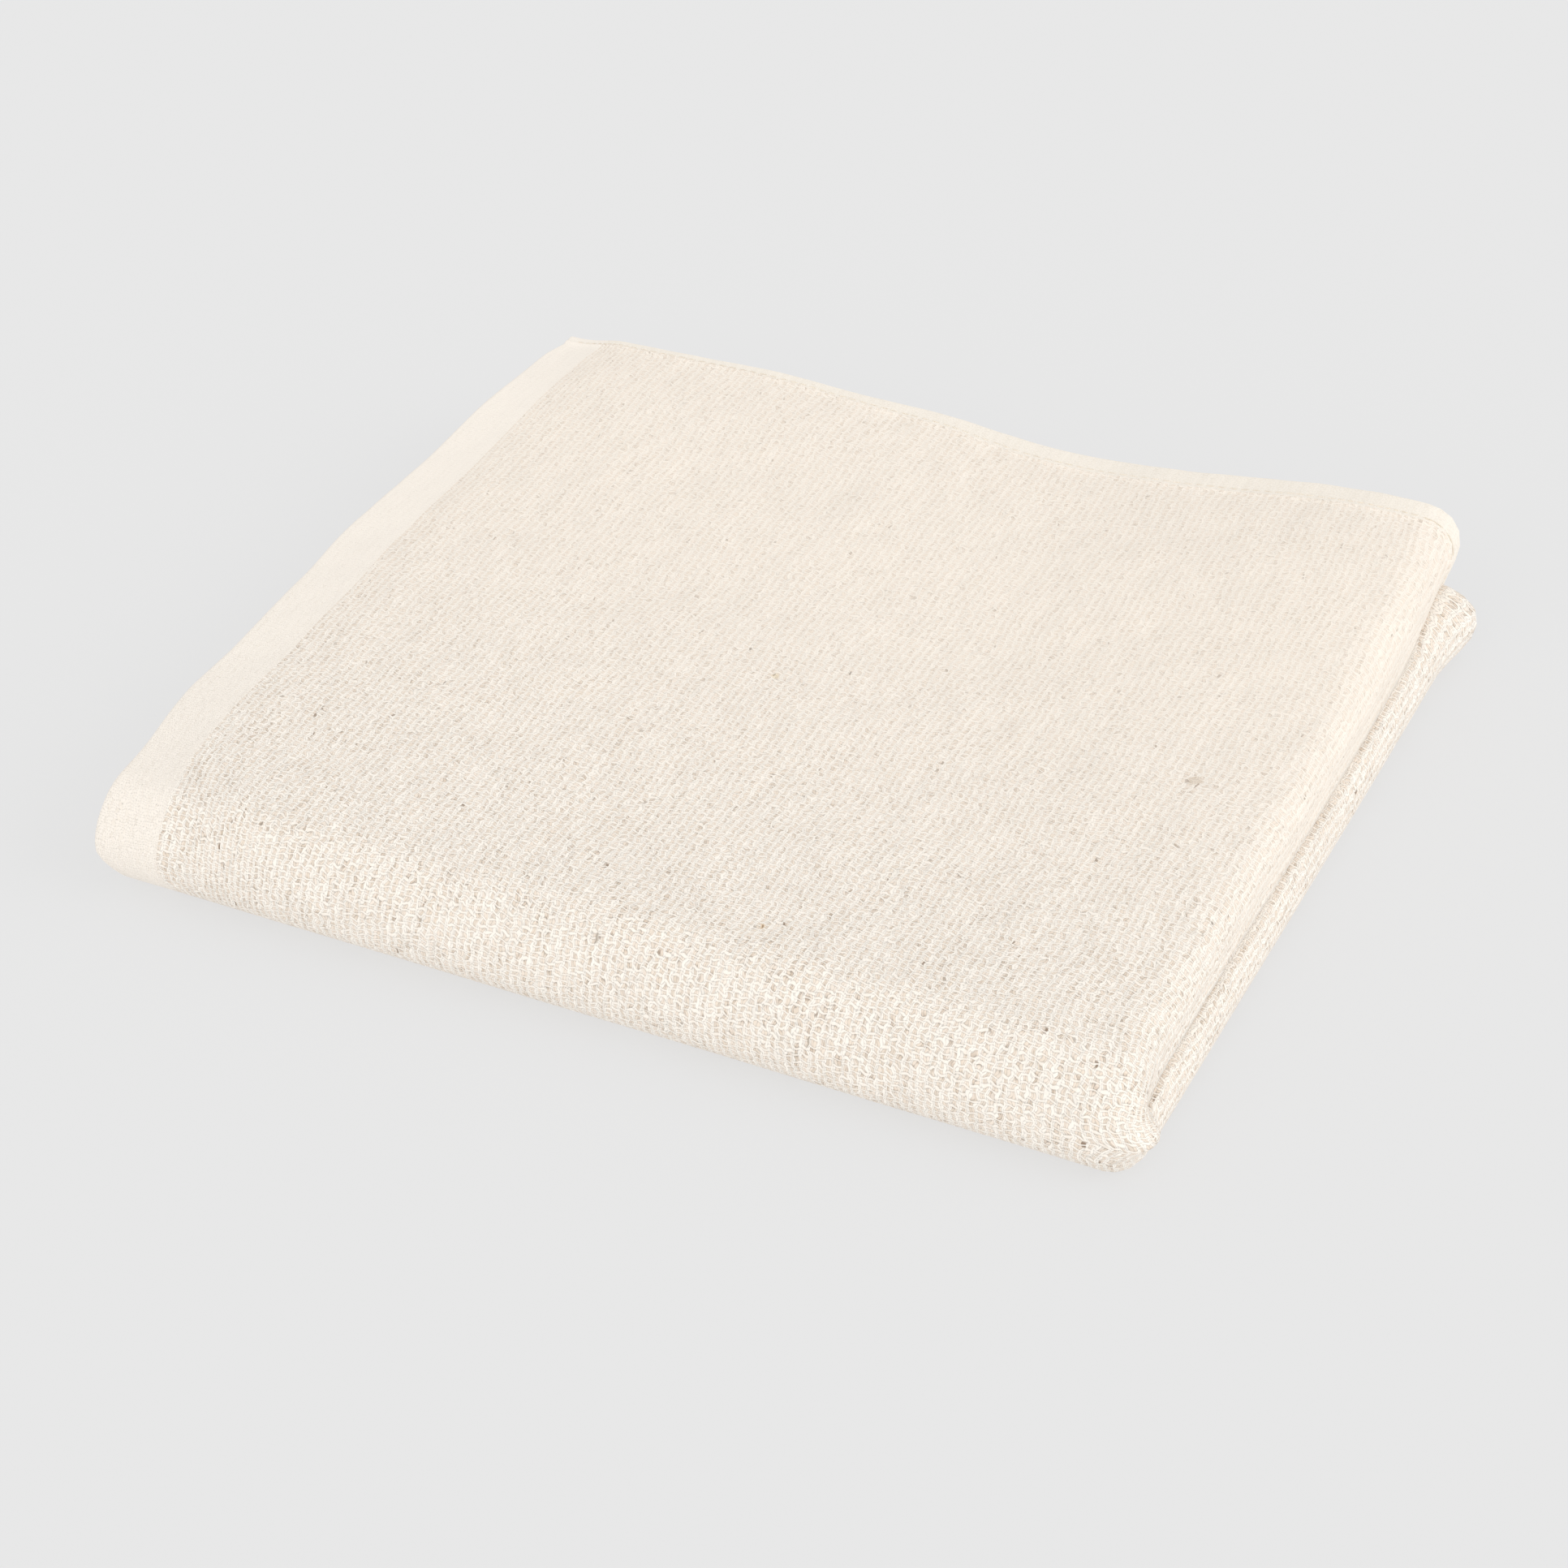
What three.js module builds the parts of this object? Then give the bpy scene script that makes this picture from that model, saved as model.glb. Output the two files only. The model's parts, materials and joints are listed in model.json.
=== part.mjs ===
// Folded hand towel: one woven cloth, halved three times and laid flat.
//
// Sizes are in millimetres, with +X to the right, +Y to the back and +Z up. The origin is on the
// surface that the towel rests on, under the middle of its box.
//
// The cloth is worked out in its own sizes first: a place across its width, a place along its
// length, and a height through its thickness, all counted from its middle. Three folds then
// stack it, each round a half circle just larger than the one before:
//   hems fold      brings the two hems together; its nose lies low at the back
//   side fold      brings the two woven edges together on the left; its nose is on the right
//   front fold     rolls the stack over at the front, so the hems end on top at the back
// Last, the plain stack settles into the uneven form of soft cloth.

import * as THREE from 'three';

// Cut cloth
const CUT_WIDTH = 500;
const CUT_LENGTH = 876;
const CLOTH_THICKNESS = 2.4;
const LAYER_GAP = 1.0;
const HEM_DEPTH = 9;
const HEM_THICKNESS = 2.9;
const HEM_STEP = 1.5;

// Folded stack
const FOLDED_WIDTH = CUT_WIDTH / 2;
const FOLDED_DEPTH = 220;
const FRONT_FOLD_PLACE = CUT_LENGTH / 4;

// Each fold: the radius of its middle, and half the height of what it folds and what it makes
const HEMS_FOLD = foldAround(CLOTH_THICKNESS / 2);
const SIDE_FOLD = foldAround(HEMS_FOLD.halfAfter);
const FRONT_FOLD = foldAround(SIDE_FOLD.halfAfter);
const STACK_HEIGHT = 2 * FRONT_FOLD.halfAfter;

// Height of the settled top along the front, across the middle and along the back, by share of
// the width from the woven edges on the left to the folds on the right
const TOP_HEIGHTS = [
  { share: 0.00, front: 24.0, middle: 25.0, back: 27.4 },
  { share: 0.10, front: 25.8, middle: 26.8, back: 29.8 },
  { share: 0.28, front: 26.2, middle: 27.4, back: 31.4 },
  { share: 0.45, front: 26.2, middle: 27.6, back: 30.7 },
  { share: 0.62, front: 26.4, middle: 27.2, back: 29.7 },
  { share: 0.74, front: 26.4, middle: 27.4, back: 32.6 },
  { share: 0.90, front: 26.4, middle: 28.6, back: 37.4 },
  { share: 1.00, front: 25.4, middle: 28.0, back: 36.8 },
];

// How far the woven edges on the left lie in from the widest one
const UPPER_EDGE_IN = 3.2;
const BACK_EDGE_IN = 5.6;
const ROLL_EDGE_IN = 4.0;
const UNDER_ROLL_EDGE_IN = 5;
const ROLL_BAND_SPREAD = 5;
const EDGE_REACH = 0.13;
const EDGE_STAGGER = 0.9;
const STAGGER_WAVES = 2;
const EDGE_WAVES = [
  { depthShare: 0.09, spread: 0.080, amount: 1.3 },
  { depthShare: 0.27, spread: 0.120, amount: -1.2 },
  { depthShare: 0.53, spread: 0.075, amount: -2.3 },
  { depthShare: 0.80, spread: 0.090, amount: 1.4 },
];

// How the two stacked noses on the right swell, how far each lies in, and how their back ends differ
const NOSE_SWELL = 0.10;
const BACK_NOSE_SWELL = 0.40;
const NOSE_REACH = 11;
const LOWER_NOSE_IN = 1.1;
const UPPER_NOSE_IN = 2.8;
const LOWER_BACK_OUT = 2.7;
const UPPER_BACK_OUT = -1.0;

// How the front roll leans over its foot, and how the back edge bows
const ROLL_LEAN = 2.0;
const ROLL_LEAN_RIGHT = 1.8;
const ROLL_SHARE = 0.12;
const BACK_BOW = 1.5;

// Stepping of the cloth's grid
const SPAN_ACROSS = 23;
const SPAN_ALONG = 26;
const SIDE_FOLD_STEPS = 8;
const HEMS_FOLD_STEPS = 6;
const FRONT_FOLD_STEPS = 12;

/** Sizes of a fold whose half circle leaves one layer gap inside what it folds. */
function foldAround(halfBefore) {
  const radius = halfBefore + LAYER_GAP / 2;
  return { halfBefore, radius, halfAfter: radius + halfBefore };
}

/** Smooth step from 0 at start to 1 at end; start may be the larger. */
function ease(start, end, value) {
  const share = THREE.MathUtils.clamp((value - start) / (end - start), 0, 1);
  return share * share * (3 - 2 * share);
}

/** Bell of height 1 at centre. */
function bell(centre, spread, value) {
  return Math.exp(-(((value - centre) / spread) ** 2));
}

/** Smooth curve through one named column of TOP_HEIGHTS, level at both ends. */
function topHeight(column, share) {
  const last = TOP_HEIGHTS.length - 1;
  const at = THREE.MathUtils.clamp(share, 0, 1);
  const from = Math.min(TOP_HEIGHTS.findLastIndex((row) => row.share <= at), last - 1);
  const slope = (index) => {
    if (index === 0 || index === last) return 0;
    const before = TOP_HEIGHTS[index - 1];
    const after = TOP_HEIGHTS[index + 1];
    return (after[column] - before[column]) / (after.share - before.share);
  };
  const low = TOP_HEIGHTS[from];
  const high = TOP_HEIGHTS[from + 1];
  const span = high.share - low.share;
  const p = (at - low.share) / span;
  const rise = p * p * (3 - 2 * p);
  return (
    low[column] * (1 - rise) +
    high[column] * rise +
    span * slope(from) * p * (1 - p) ** 2 -
    span * slope(from + 1) * p * p * (1 - p)
  );
}

/** Turns a stack back on itself: a place counted from the nose and a height outwards. */
function turnBack(place, height, fold) {
  const quarter = (Math.PI / 2) * fold.radius;
  const angle = THREE.MathUtils.clamp(place, -quarter, quarter) / fold.radius;
  const past = Math.max(Math.abs(place) - quarter, 0);
  const reach = fold.radius + height;
  return {
    fromNose: fold.halfAfter - reach * Math.cos(angle) + past,
    height: reach * Math.sin(angle),
  };
}

/** Place in the plain stack, with x 0 at the left and y 0 at the front, of a place in the cloth. */
function foldCloth(across, along, through) {
  const hems = turnBack(along, through, HEMS_FOLD);
  const side = turnBack(across, hems.height, SIDE_FOLD);
  const front = turnBack(hems.fromNose - FRONT_FOLD_PLACE, side.height, FRONT_FOLD);
  return new THREE.Vector3(
    FOLDED_WIDTH - side.fromNose,
    front.fromNose,
    front.height + FRONT_FOLD.halfAfter,
  );
}

/** Moves a place in the plain stack to where it lies once the soft cloth has settled. */
function settle(place) {
  const acrossShare = place.x / FOLDED_WIDTH;
  const depthShare = place.y / FOLDED_DEPTH;
  const level = place.z / STACK_HEIGHT;
  const inRoll = ease(ROLL_SHARE, 0, depthShare);
  const atBack = ease(0.74, 1, depthShare);
  const stagger = EDGE_STAGGER * Math.sin(2 * Math.PI * STAGGER_WAVES * level);

  // Height: the top follows the table, the parting of the two halves stays near the middle
  const toMiddle = ease(0, 0.5, depthShare);
  const toBack = ease(0.55, 1, depthShare);
  const fore = THREE.MathUtils.lerp(
    topHeight('front', acrossShare),
    topHeight('middle', acrossShare),
    toMiddle,
  );
  const top = THREE.MathUtils.lerp(fore, topHeight('back', acrossShare), toBack);
  const parting = top * (0.5 - 0.05 * inRoll);
  const bend = 2 * top - 4 * parting;
  const z = (top - bend) * level + bend * level * level;

  // Woven edges on the left
  const high = ease(0.2, 0.9, level);
  const low = ease(0.55, 0.15, level);
  let edgeIn = UPPER_EDGE_IN * high * (1 - inRoll) + BACK_EDGE_IN * high * atBack;
  edgeIn += (ROLL_EDGE_IN + UNDER_ROLL_EDGE_IN * low) * inRoll - stagger * (1 - inRoll);
  for (const wave of EDGE_WAVES) {
    edgeIn += wave.amount * bell(wave.depthShare, wave.spread, depthShare);
  }
  let x = place.x + edgeIn * ease(EDGE_REACH, 0, acrossShare);
  x += ROLL_BAND_SPREAD * inRoll * bell(0.09, 0.07, acrossShare);

  // Noses on the right
  const gone = FOLDED_WIDTH - place.x;
  const swell = NOSE_SWELL + BACK_NOSE_SWELL * ease(0.86, 1, depthShare);
  x -= swell * gone * bell(0, NOSE_REACH, gone);
  const toUpper = ease(0.3, 0.7, level);
  const noseIn = THREE.MathUtils.lerp(LOWER_NOSE_IN, UPPER_NOSE_IN, toUpper) * (1 - inRoll);
  const backOut = THREE.MathUtils.lerp(LOWER_BACK_OUT, UPPER_BACK_OUT, toUpper);
  x += (backOut * ease(0.9, 1, depthShare) - noseIn) * ease(0.8, 1, acrossShare);

  // Front roll and back edge
  const lean = (ROLL_LEAN + ROLL_LEAN_RIGHT * acrossShare) * ease(1, 0, level);
  let y = place.y - lean * ease(0.2, 0, depthShare);
  y -= (BACK_BOW * bell(0.62, 0.12, acrossShare) + stagger) * ease(0.7, 1, depthShare);
  return new THREE.Vector3(x, y, z);
}

/** Half the cloth's thickness at a place along it: the turned hems at both ends are thicker. */
function halfThickness(along) {
  const fromEnd = CUT_LENGTH / 2 - Math.abs(along);
  const hem = ease(HEM_DEPTH + HEM_STEP, HEM_DEPTH, fromEnd);
  return THREE.MathUtils.lerp(CLOTH_THICKNESS, HEM_THICKNESS, hem) / 2;
}

/** Evenly spaced places from start to end, without the end itself. */
function places(start, end, steps) {
  return Array.from({ length: steps }, (_, index) => start + ((end - start) * index) / steps);
}

/** Grid lines over the cloth's half, from its middle to one edge, mirrored to the other half. */
function mirrored(half) {
  const others = half.filter((place) => place > 0);
  return [...others.map((place) => -place).reverse(), 0, ...others];
}

/** Grid lines across the width: close in the side fold, wide in the flats. */
function linesAcross() {
  const turnEnd = (Math.PI / 2) * SIDE_FOLD.radius;
  const edge = CUT_WIDTH / 2;
  const spans = Math.round((edge - turnEnd) / SPAN_ACROSS);
  return mirrored([
    ...places(0, turnEnd, SIDE_FOLD_STEPS / 2),
    ...places(turnEnd, edge, spans),
    edge,
  ]);
}

/** Grid lines along the length: close in the hems and front folds, wide in the flats. */
function linesAlong() {
  const hemsTurnEnd = (Math.PI / 2) * HEMS_FOLD.radius;
  const nose = FRONT_FOLD_PLACE + hemsTurnEnd - HEMS_FOLD.halfAfter;
  const frontTurn = (Math.PI / 2) * FRONT_FOLD.radius;
  const end = CUT_LENGTH / 2;
  const hem = end - HEM_DEPTH;
  const spans = Math.round((nose - frontTurn - hemsTurnEnd) / SPAN_ALONG);
  return mirrored([
    ...places(0, hemsTurnEnd, HEMS_FOLD_STEPS / 2),
    ...places(hemsTurnEnd, nose - frontTurn, spans),
    ...places(nose - frontTurn, nose + frontTurn, FRONT_FOLD_STEPS),
    ...places(nose + frontTurn, hem - HEM_STEP, spans),
    hem - HEM_STEP,
    hem,
    end,
  ]);
}

/** Closed body of the folded cloth: an inner and an outer face on one grid, and the rim between. */
function clothGeometry() {
  const across = linesAcross();
  const along = linesAlong();
  const columns = across.length;
  const rows = along.length;
  const positions = [];
  for (const side of [-1, 1]) {
    for (const b of along) {
      for (const a of across) {
        positions.push(...settle(foldCloth(a, b, side * halfThickness(b))).toArray());
      }
    }
  }

  const indices = [];
  const corner = (face, row, column) => (face * rows + row) * columns + column;
  const quad = (a, b, c, d) => indices.push(a, b, c, a, c, d);
  for (let row = 0; row < rows - 1; row++) {
    for (let column = 0; column < columns - 1; column++) {
      const ring = [
        [row, column],
        [row, column + 1],
        [row + 1, column + 1],
        [row + 1, column],
      ];
      quad(...ring.map(([r, c]) => corner(0, r, c)));
      quad(...ring.reverse().map(([r, c]) => corner(1, r, c)));
    }
  }
  const rim = [];
  for (let column = 0; column < columns - 1; column++) rim.push([0, column]);
  for (let row = 0; row < rows - 1; row++) rim.push([row, columns - 1]);
  for (let column = columns - 1; column > 0; column--) rim.push([rows - 1, column]);
  for (let row = rows - 1; row > 0; row--) rim.push([row, 0]);
  rim.forEach(([row, column], index) => {
    const [nextRow, nextColumn] = rim[(index + 1) % rim.length];
    quad(
      corner(1, row, column),
      corner(1, nextRow, nextColumn),
      corner(0, nextRow, nextColumn),
      corner(0, row, column),
    );
  });

  const geometry = new THREE.BufferGeometry();
  geometry.setAttribute('position', new THREE.Float32BufferAttribute(positions, 3));
  geometry.setIndex(indices);
  return geometry;
}

/** Moves a geometry so that the origin is under the middle of its box. */
function standOnOrigin(geometry) {
  geometry.computeBoundingBox();
  const box = geometry.boundingBox;
  const middle = box.getCenter(new THREE.Vector3());
  geometry.translate(-middle.x, -middle.y, -box.min.z);
  geometry.computeVertexNormals();
  return geometry;
}

const clothMaterial = new THREE.MeshStandardMaterial({
  color: 0xf1e7da,
  roughness: 0.95,
  metalness: 0,
});

const cloth = new THREE.Mesh(standOnOrigin(clothGeometry()), clothMaterial);
cloth.name = 'towel_cloth';

const towel = new THREE.Group();
towel.name = 'folded_hand_towel';
towel.add(cloth);

export default towel;
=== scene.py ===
"""Folded hand towel: one woven cloth with its sewn hem, on a plain floor in soft studio light.

Sizes are in metres in the part's own frame, with +X to the right, +Y to the back and +Z up.

The cloth is worked out in its own sizes first: a place across its width and along its length,
both counted from its middle, and a height through its thickness. Three folds stack it, and then
the plain stack settles into the uneven form of soft cloth. The folds and the settling repeat
those of the part's solid, and this finer sheet takes that solid's place.
"""

import json
import logging
import math
from dataclasses import dataclass, field
from enum import Enum
from typing import NamedTuple

import bpy
import numpy as np
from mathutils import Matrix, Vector

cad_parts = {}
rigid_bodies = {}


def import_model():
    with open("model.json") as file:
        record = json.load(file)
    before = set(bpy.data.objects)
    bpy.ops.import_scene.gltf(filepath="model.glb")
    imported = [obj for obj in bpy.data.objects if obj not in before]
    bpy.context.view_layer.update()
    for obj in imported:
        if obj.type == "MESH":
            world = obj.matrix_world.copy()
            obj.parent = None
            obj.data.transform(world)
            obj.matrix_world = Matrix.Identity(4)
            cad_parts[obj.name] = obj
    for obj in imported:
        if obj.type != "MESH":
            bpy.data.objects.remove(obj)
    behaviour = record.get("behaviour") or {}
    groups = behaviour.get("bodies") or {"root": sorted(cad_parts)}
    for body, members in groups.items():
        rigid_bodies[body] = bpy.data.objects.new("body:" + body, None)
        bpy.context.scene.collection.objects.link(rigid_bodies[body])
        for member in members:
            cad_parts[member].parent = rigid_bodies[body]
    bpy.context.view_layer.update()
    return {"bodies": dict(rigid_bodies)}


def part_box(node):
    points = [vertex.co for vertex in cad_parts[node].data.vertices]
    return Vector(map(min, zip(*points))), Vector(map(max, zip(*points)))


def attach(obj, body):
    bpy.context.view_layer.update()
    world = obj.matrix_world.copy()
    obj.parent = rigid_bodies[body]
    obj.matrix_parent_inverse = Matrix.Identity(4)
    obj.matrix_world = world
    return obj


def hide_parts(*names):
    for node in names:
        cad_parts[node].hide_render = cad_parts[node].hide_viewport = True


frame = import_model()
BODY = next(iter(frame["bodies"]))
CLOTH_NODE = "towel_cloth"

MM = 0.001
PHOTO_PIXELS = 1932
SENSOR_WIDTH = 36.0
SHEEN_ROUGHNESS = 0.6

# Threads and rows in one repeat of a weave, and the middle and reach of its two linen threads
REPEAT = 4.0
LINEN_PAIR = (1.5, 0.6)

log = logging.getLogger("towel")

Socket = bpy.types.NodeSocket
Value = Socket | float | tuple


def ease(start: float, end: float, value: np.ndarray) -> np.ndarray:
    """Smooth step from 0 at start to 1 at end.

    Args:
        start: Where the step begins; it may be the larger.
        end: Where the step is whole.
        value: The values to look at.

    Returns:
        Shares from 0 to 1.
    """
    share = np.clip((value - start) / (end - start), 0.0, 1.0)
    return share * share * (3.0 - 2.0 * share)


def bell(centre: float, spread: float, value: np.ndarray) -> np.ndarray:
    """Bell of height 1 at centre."""
    return np.exp(-(((value - centre) / spread) ** 2))


def lerp(low: np.ndarray, high: np.ndarray, share: np.ndarray) -> np.ndarray:
    """Straight mix of two values."""
    return low + (high - low) * share


def lines(start: float, stretches: list[tuple[float, float]]) -> np.ndarray:
    """Grid lines along one direction, at a chosen step on each stretch.

    Args:
        start: The first line.
        stretches: The end of each stretch, and about how far apart its lines lie.

    Returns:
        The lines in rising order, with both ends.
    """
    found = [np.array([start])]
    for end, step in stretches:
        count = max(round((end - start) / step), 1)
        found.append(np.linspace(start, end, count + 1)[1:])
        start = end
    return np.concatenate(found)


def linear(code: str) -> tuple[float, float, float, float]:
    """Scene colour of a screen colour.

    Args:
        code: Six hexadecimal digits.

    Returns:
        Red, green, blue and a full alpha, as light.
    """
    shares = [int(code[i : i + 2], 16) / 255 for i in (0, 2, 4)]
    light = [s / 12.92 if s <= 0.04045 else ((s + 0.055) / 1.055) ** 2.4 for s in shares]
    return (light[0], light[1], light[2], 1.0)


# The folded and settled cloth


@dataclass(frozen=True)
class CutCloth:
    """The towel before it is folded: a woven rectangle, hemmed at its two short ends."""

    width: float = 500 * MM
    length: float = 876 * MM
    thickness: float = 2.4 * MM
    layer_gap: float = 1.0 * MM
    band_width: float = 15 * MM
    hem_depth: float = 9 * MM
    hem_thickness: float = 2.9 * MM
    hem_step: float = 1.5 * MM
    hem_ridge: float = 0.10 * MM
    seam_in: float = 1.5 * MM
    seam_sink: float = 0.03 * MM
    seam_spread: float = 0.6 * MM
    edge_round: float = 1.3 * MM
    rim_share: float = 0.35

    @property
    def half_width(self) -> float:
        """From the middle to a woven edge."""
        return self.width / 2

    @property
    def half_length(self) -> float:
        """From the middle to a hemmed end."""
        return self.length / 2

    @property
    def seam_place(self) -> float:
        """Where the row of hem stitches lies along the cloth."""
        return self.half_length - self.hem_depth + self.seam_in

    def half_thickness(self, across: np.ndarray, along: np.ndarray) -> np.ndarray:
        """Half the cloth's thickness: more at the hems, less in the seam and at the rim.

        Args:
            across: Places across the width.
            along: Places along the length.

        Returns:
            Half thicknesses.
        """
        from_end = self.half_length - np.abs(along)
        from_side = self.half_width - np.abs(across)
        hem = ease(self.hem_depth + self.hem_step, self.hem_depth, from_end)
        half = lerp(self.thickness, self.hem_thickness, hem) / 2
        half = half + self.hem_ridge * bell(self.hem_depth, self.seam_spread, from_end)
        seam = self.hem_depth - self.seam_in
        half = half - self.seam_sink * bell(seam, self.seam_spread, from_end)
        for inwards in (from_end, from_side):
            missing = 1.0 - np.clip(inwards / self.edge_round, 0.0, 1.0)
            half = half * lerp(self.rim_share, 1.0, np.sqrt(1.0 - missing**2))
        return half


@dataclass(frozen=True)
class Fold:
    """A half-circle turn that lays a stack back on itself around one layer gap."""

    half_before: float
    gap: float

    @property
    def radius(self) -> float:
        """Radius of the turn's middle."""
        return self.half_before + self.gap / 2

    @property
    def half_after(self) -> float:
        """Half the height of the doubled stack."""
        return self.radius + self.half_before

    @property
    def quarter(self) -> float:
        """Length of a quarter turn at its middle."""
        return math.pi / 2 * self.radius

    def turn_back(self, place: np.ndarray, height: np.ndarray) -> tuple[np.ndarray, np.ndarray]:
        """Turns a stack back on itself.

        Args:
            place: Places counted from the nose of the turn.
            height: Heights outwards in the stack before the turn.

        Returns:
            Distances from the nose, and heights in the doubled stack.
        """
        angle = np.clip(place, -self.quarter, self.quarter) / self.radius
        past = np.maximum(np.abs(place) - self.quarter, 0.0)
        reach = self.radius + height
        return self.half_after - reach * np.cos(angle) + past, reach * np.sin(angle)


@dataclass(frozen=True)
class Stack:
    """The plain stack: the hems meet, then the woven edges meet, then the front rolls over."""

    cut: CutCloth = CutCloth()
    folded_depth: float = 220 * MM

    @property
    def folded_width(self) -> float:
        """Width of the stack, half the cut width."""
        return self.cut.width / 2

    @property
    def front_fold_place(self) -> float:
        """How far the front fold lies from the fold between the hems."""
        return self.cut.length / 4

    @property
    def hems_fold(self) -> Fold:
        """Brings the two hems together; its nose lies low at the back."""
        return Fold(self.cut.thickness / 2, self.cut.layer_gap)

    @property
    def side_fold(self) -> Fold:
        """Brings the woven edges together on the left; its nose is on the right."""
        return Fold(self.hems_fold.half_after, self.cut.layer_gap)

    @property
    def front_fold(self) -> Fold:
        """Rolls the stack over at the front, so that the hems end on top."""
        return Fold(self.side_fold.half_after, self.cut.layer_gap)

    @property
    def height(self) -> float:
        """Height of the plain stack."""
        return 2 * self.front_fold.half_after

    @property
    def front_nose(self) -> float:
        """Where the nose of the front roll lies along the cloth."""
        return self.front_fold_place + self.hems_fold.quarter - self.hems_fold.half_after

    def lay(
        self, across: np.ndarray, along: np.ndarray, through: np.ndarray
    ) -> tuple[np.ndarray, np.ndarray, np.ndarray]:
        """Lays places of the cloth into the plain stack.

        Args:
            across: Places across the cloth.
            along: Places along the cloth.
            through: Heights through the cloth.

        Returns:
            x from the left, y from the front and z from the floor.
        """
        from_hems_nose, height = self.hems_fold.turn_back(along, through)
        from_side_nose, height = self.side_fold.turn_back(across, height)
        back = from_hems_nose - self.front_fold_place
        from_front_nose, height = self.front_fold.turn_back(back, height)
        x = self.folded_width - from_side_nose
        return x, from_front_nose, height + self.front_fold.half_after


class TopHeight(NamedTuple):
    """Height of the settled top at a share of the width, from the woven edges to the folds."""

    share: float
    front: float
    middle: float
    back: float


TOP_HEIGHTS = (
    TopHeight(0.00, 24.0 * MM, 25.0 * MM, 28.9 * MM),
    TopHeight(0.10, 25.8 * MM, 26.8 * MM, 30.6 * MM),
    TopHeight(0.28, 26.2 * MM, 27.4 * MM, 31.7 * MM),
    TopHeight(0.45, 26.2 * MM, 27.6 * MM, 30.7 * MM),
    TopHeight(0.62, 26.4 * MM, 27.2 * MM, 29.7 * MM),
    TopHeight(0.74, 26.4 * MM, 27.4 * MM, 32.6 * MM),
    TopHeight(0.90, 26.4 * MM, 28.6 * MM, 37.4 * MM),
    TopHeight(1.00, 25.4 * MM, 28.0 * MM, 36.8 * MM),
)


def top_height(column: str, share: np.ndarray) -> np.ndarray:
    """Smooth curve through one column of TOP_HEIGHTS, level at both ends.

    Args:
        column: Name of the column.
        share: Shares of the width.

    Returns:
        Heights.
    """
    shares = np.array([row.share for row in TOP_HEIGHTS])
    heights = np.array([getattr(row, column) for row in TOP_HEIGHTS])
    slopes = np.zeros(len(shares))
    slopes[1:-1] = (heights[2:] - heights[:-2]) / (shares[2:] - shares[:-2])
    at = np.clip(share, 0.0, 1.0)
    low = np.clip(np.searchsorted(shares, at, side="right") - 1, 0, len(shares) - 2)
    high = low + 1
    span = shares[high] - shares[low]
    part = (at - shares[low]) / span
    rise = part * part * (3.0 - 2.0 * part)
    lean = slopes[low] * part * (1.0 - part) ** 2 - slopes[high] * part**2 * (1.0 - part)
    return lerp(heights[low], heights[high], rise) + span * lean


class EdgeWave(NamedTuple):
    """A soft bend of the woven edges, by share of the depth."""

    depth_share: float
    spread: float
    amount: float


class SoftCrease(NamedTuple):
    """A soft trough, or a ridge if its rise is positive, on the settled top.

    x and y are its middle, counted from the left and the front of the stack, and turn is the
    angle of its run from the +X axis, in degrees.
    """

    x: float
    y: float
    turn: float
    half_run: float
    half_width: float
    rise: float


SOFT_CREASES = (
    SoftCrease(220 * MM, 95 * MM, 86, 55 * MM, 7 * MM, -0.55 * MM),
    SoftCrease(196 * MM, 52 * MM, 98, 26 * MM, 6 * MM, -0.35 * MM),
    SoftCrease(160 * MM, 176 * MM, 102, 34 * MM, 9 * MM, -0.45 * MM),
    SoftCrease(112 * MM, 178 * MM, 84, 40 * MM, 8 * MM, 0.35 * MM),
    SoftCrease(70 * MM, 150 * MM, 95, 44 * MM, 9 * MM, -0.35 * MM),
    SoftCrease(34 * MM, 110 * MM, 90, 60 * MM, 6 * MM, -0.30 * MM),
    SoftCrease(128 * MM, 88 * MM, 8, 60 * MM, 10 * MM, 0.25 * MM),
    SoftCrease(60 * MM, 60 * MM, 170, 38 * MM, 7 * MM, -0.25 * MM),
)


@dataclass(frozen=True)
class Waves:
    """Seeded low waves that leave no stretch of soft cloth quite even."""

    seed: int
    count: int
    shortest: float
    longest: float
    amount: float

    def rise(self, x: np.ndarray, y: np.ndarray) -> np.ndarray:
        """Sum of the waves.

        Args:
            x: Places to the right.
            y: Places to the back.

        Returns:
            Rises, mostly within the amount.
        """
        random = np.random.default_rng(self.seed)
        total = np.zeros(np.shape(x))
        for _ in range(self.count):
            turn, phase = random.uniform(0.0, 2.0 * math.pi, 2)
            length = random.uniform(self.shortest, self.longest)
            run = (x * math.cos(turn) + y * math.sin(turn)) / length
            total = total + np.sin(2.0 * math.pi * run + phase)
        return self.amount * total / math.sqrt(self.count / 2)


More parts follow.
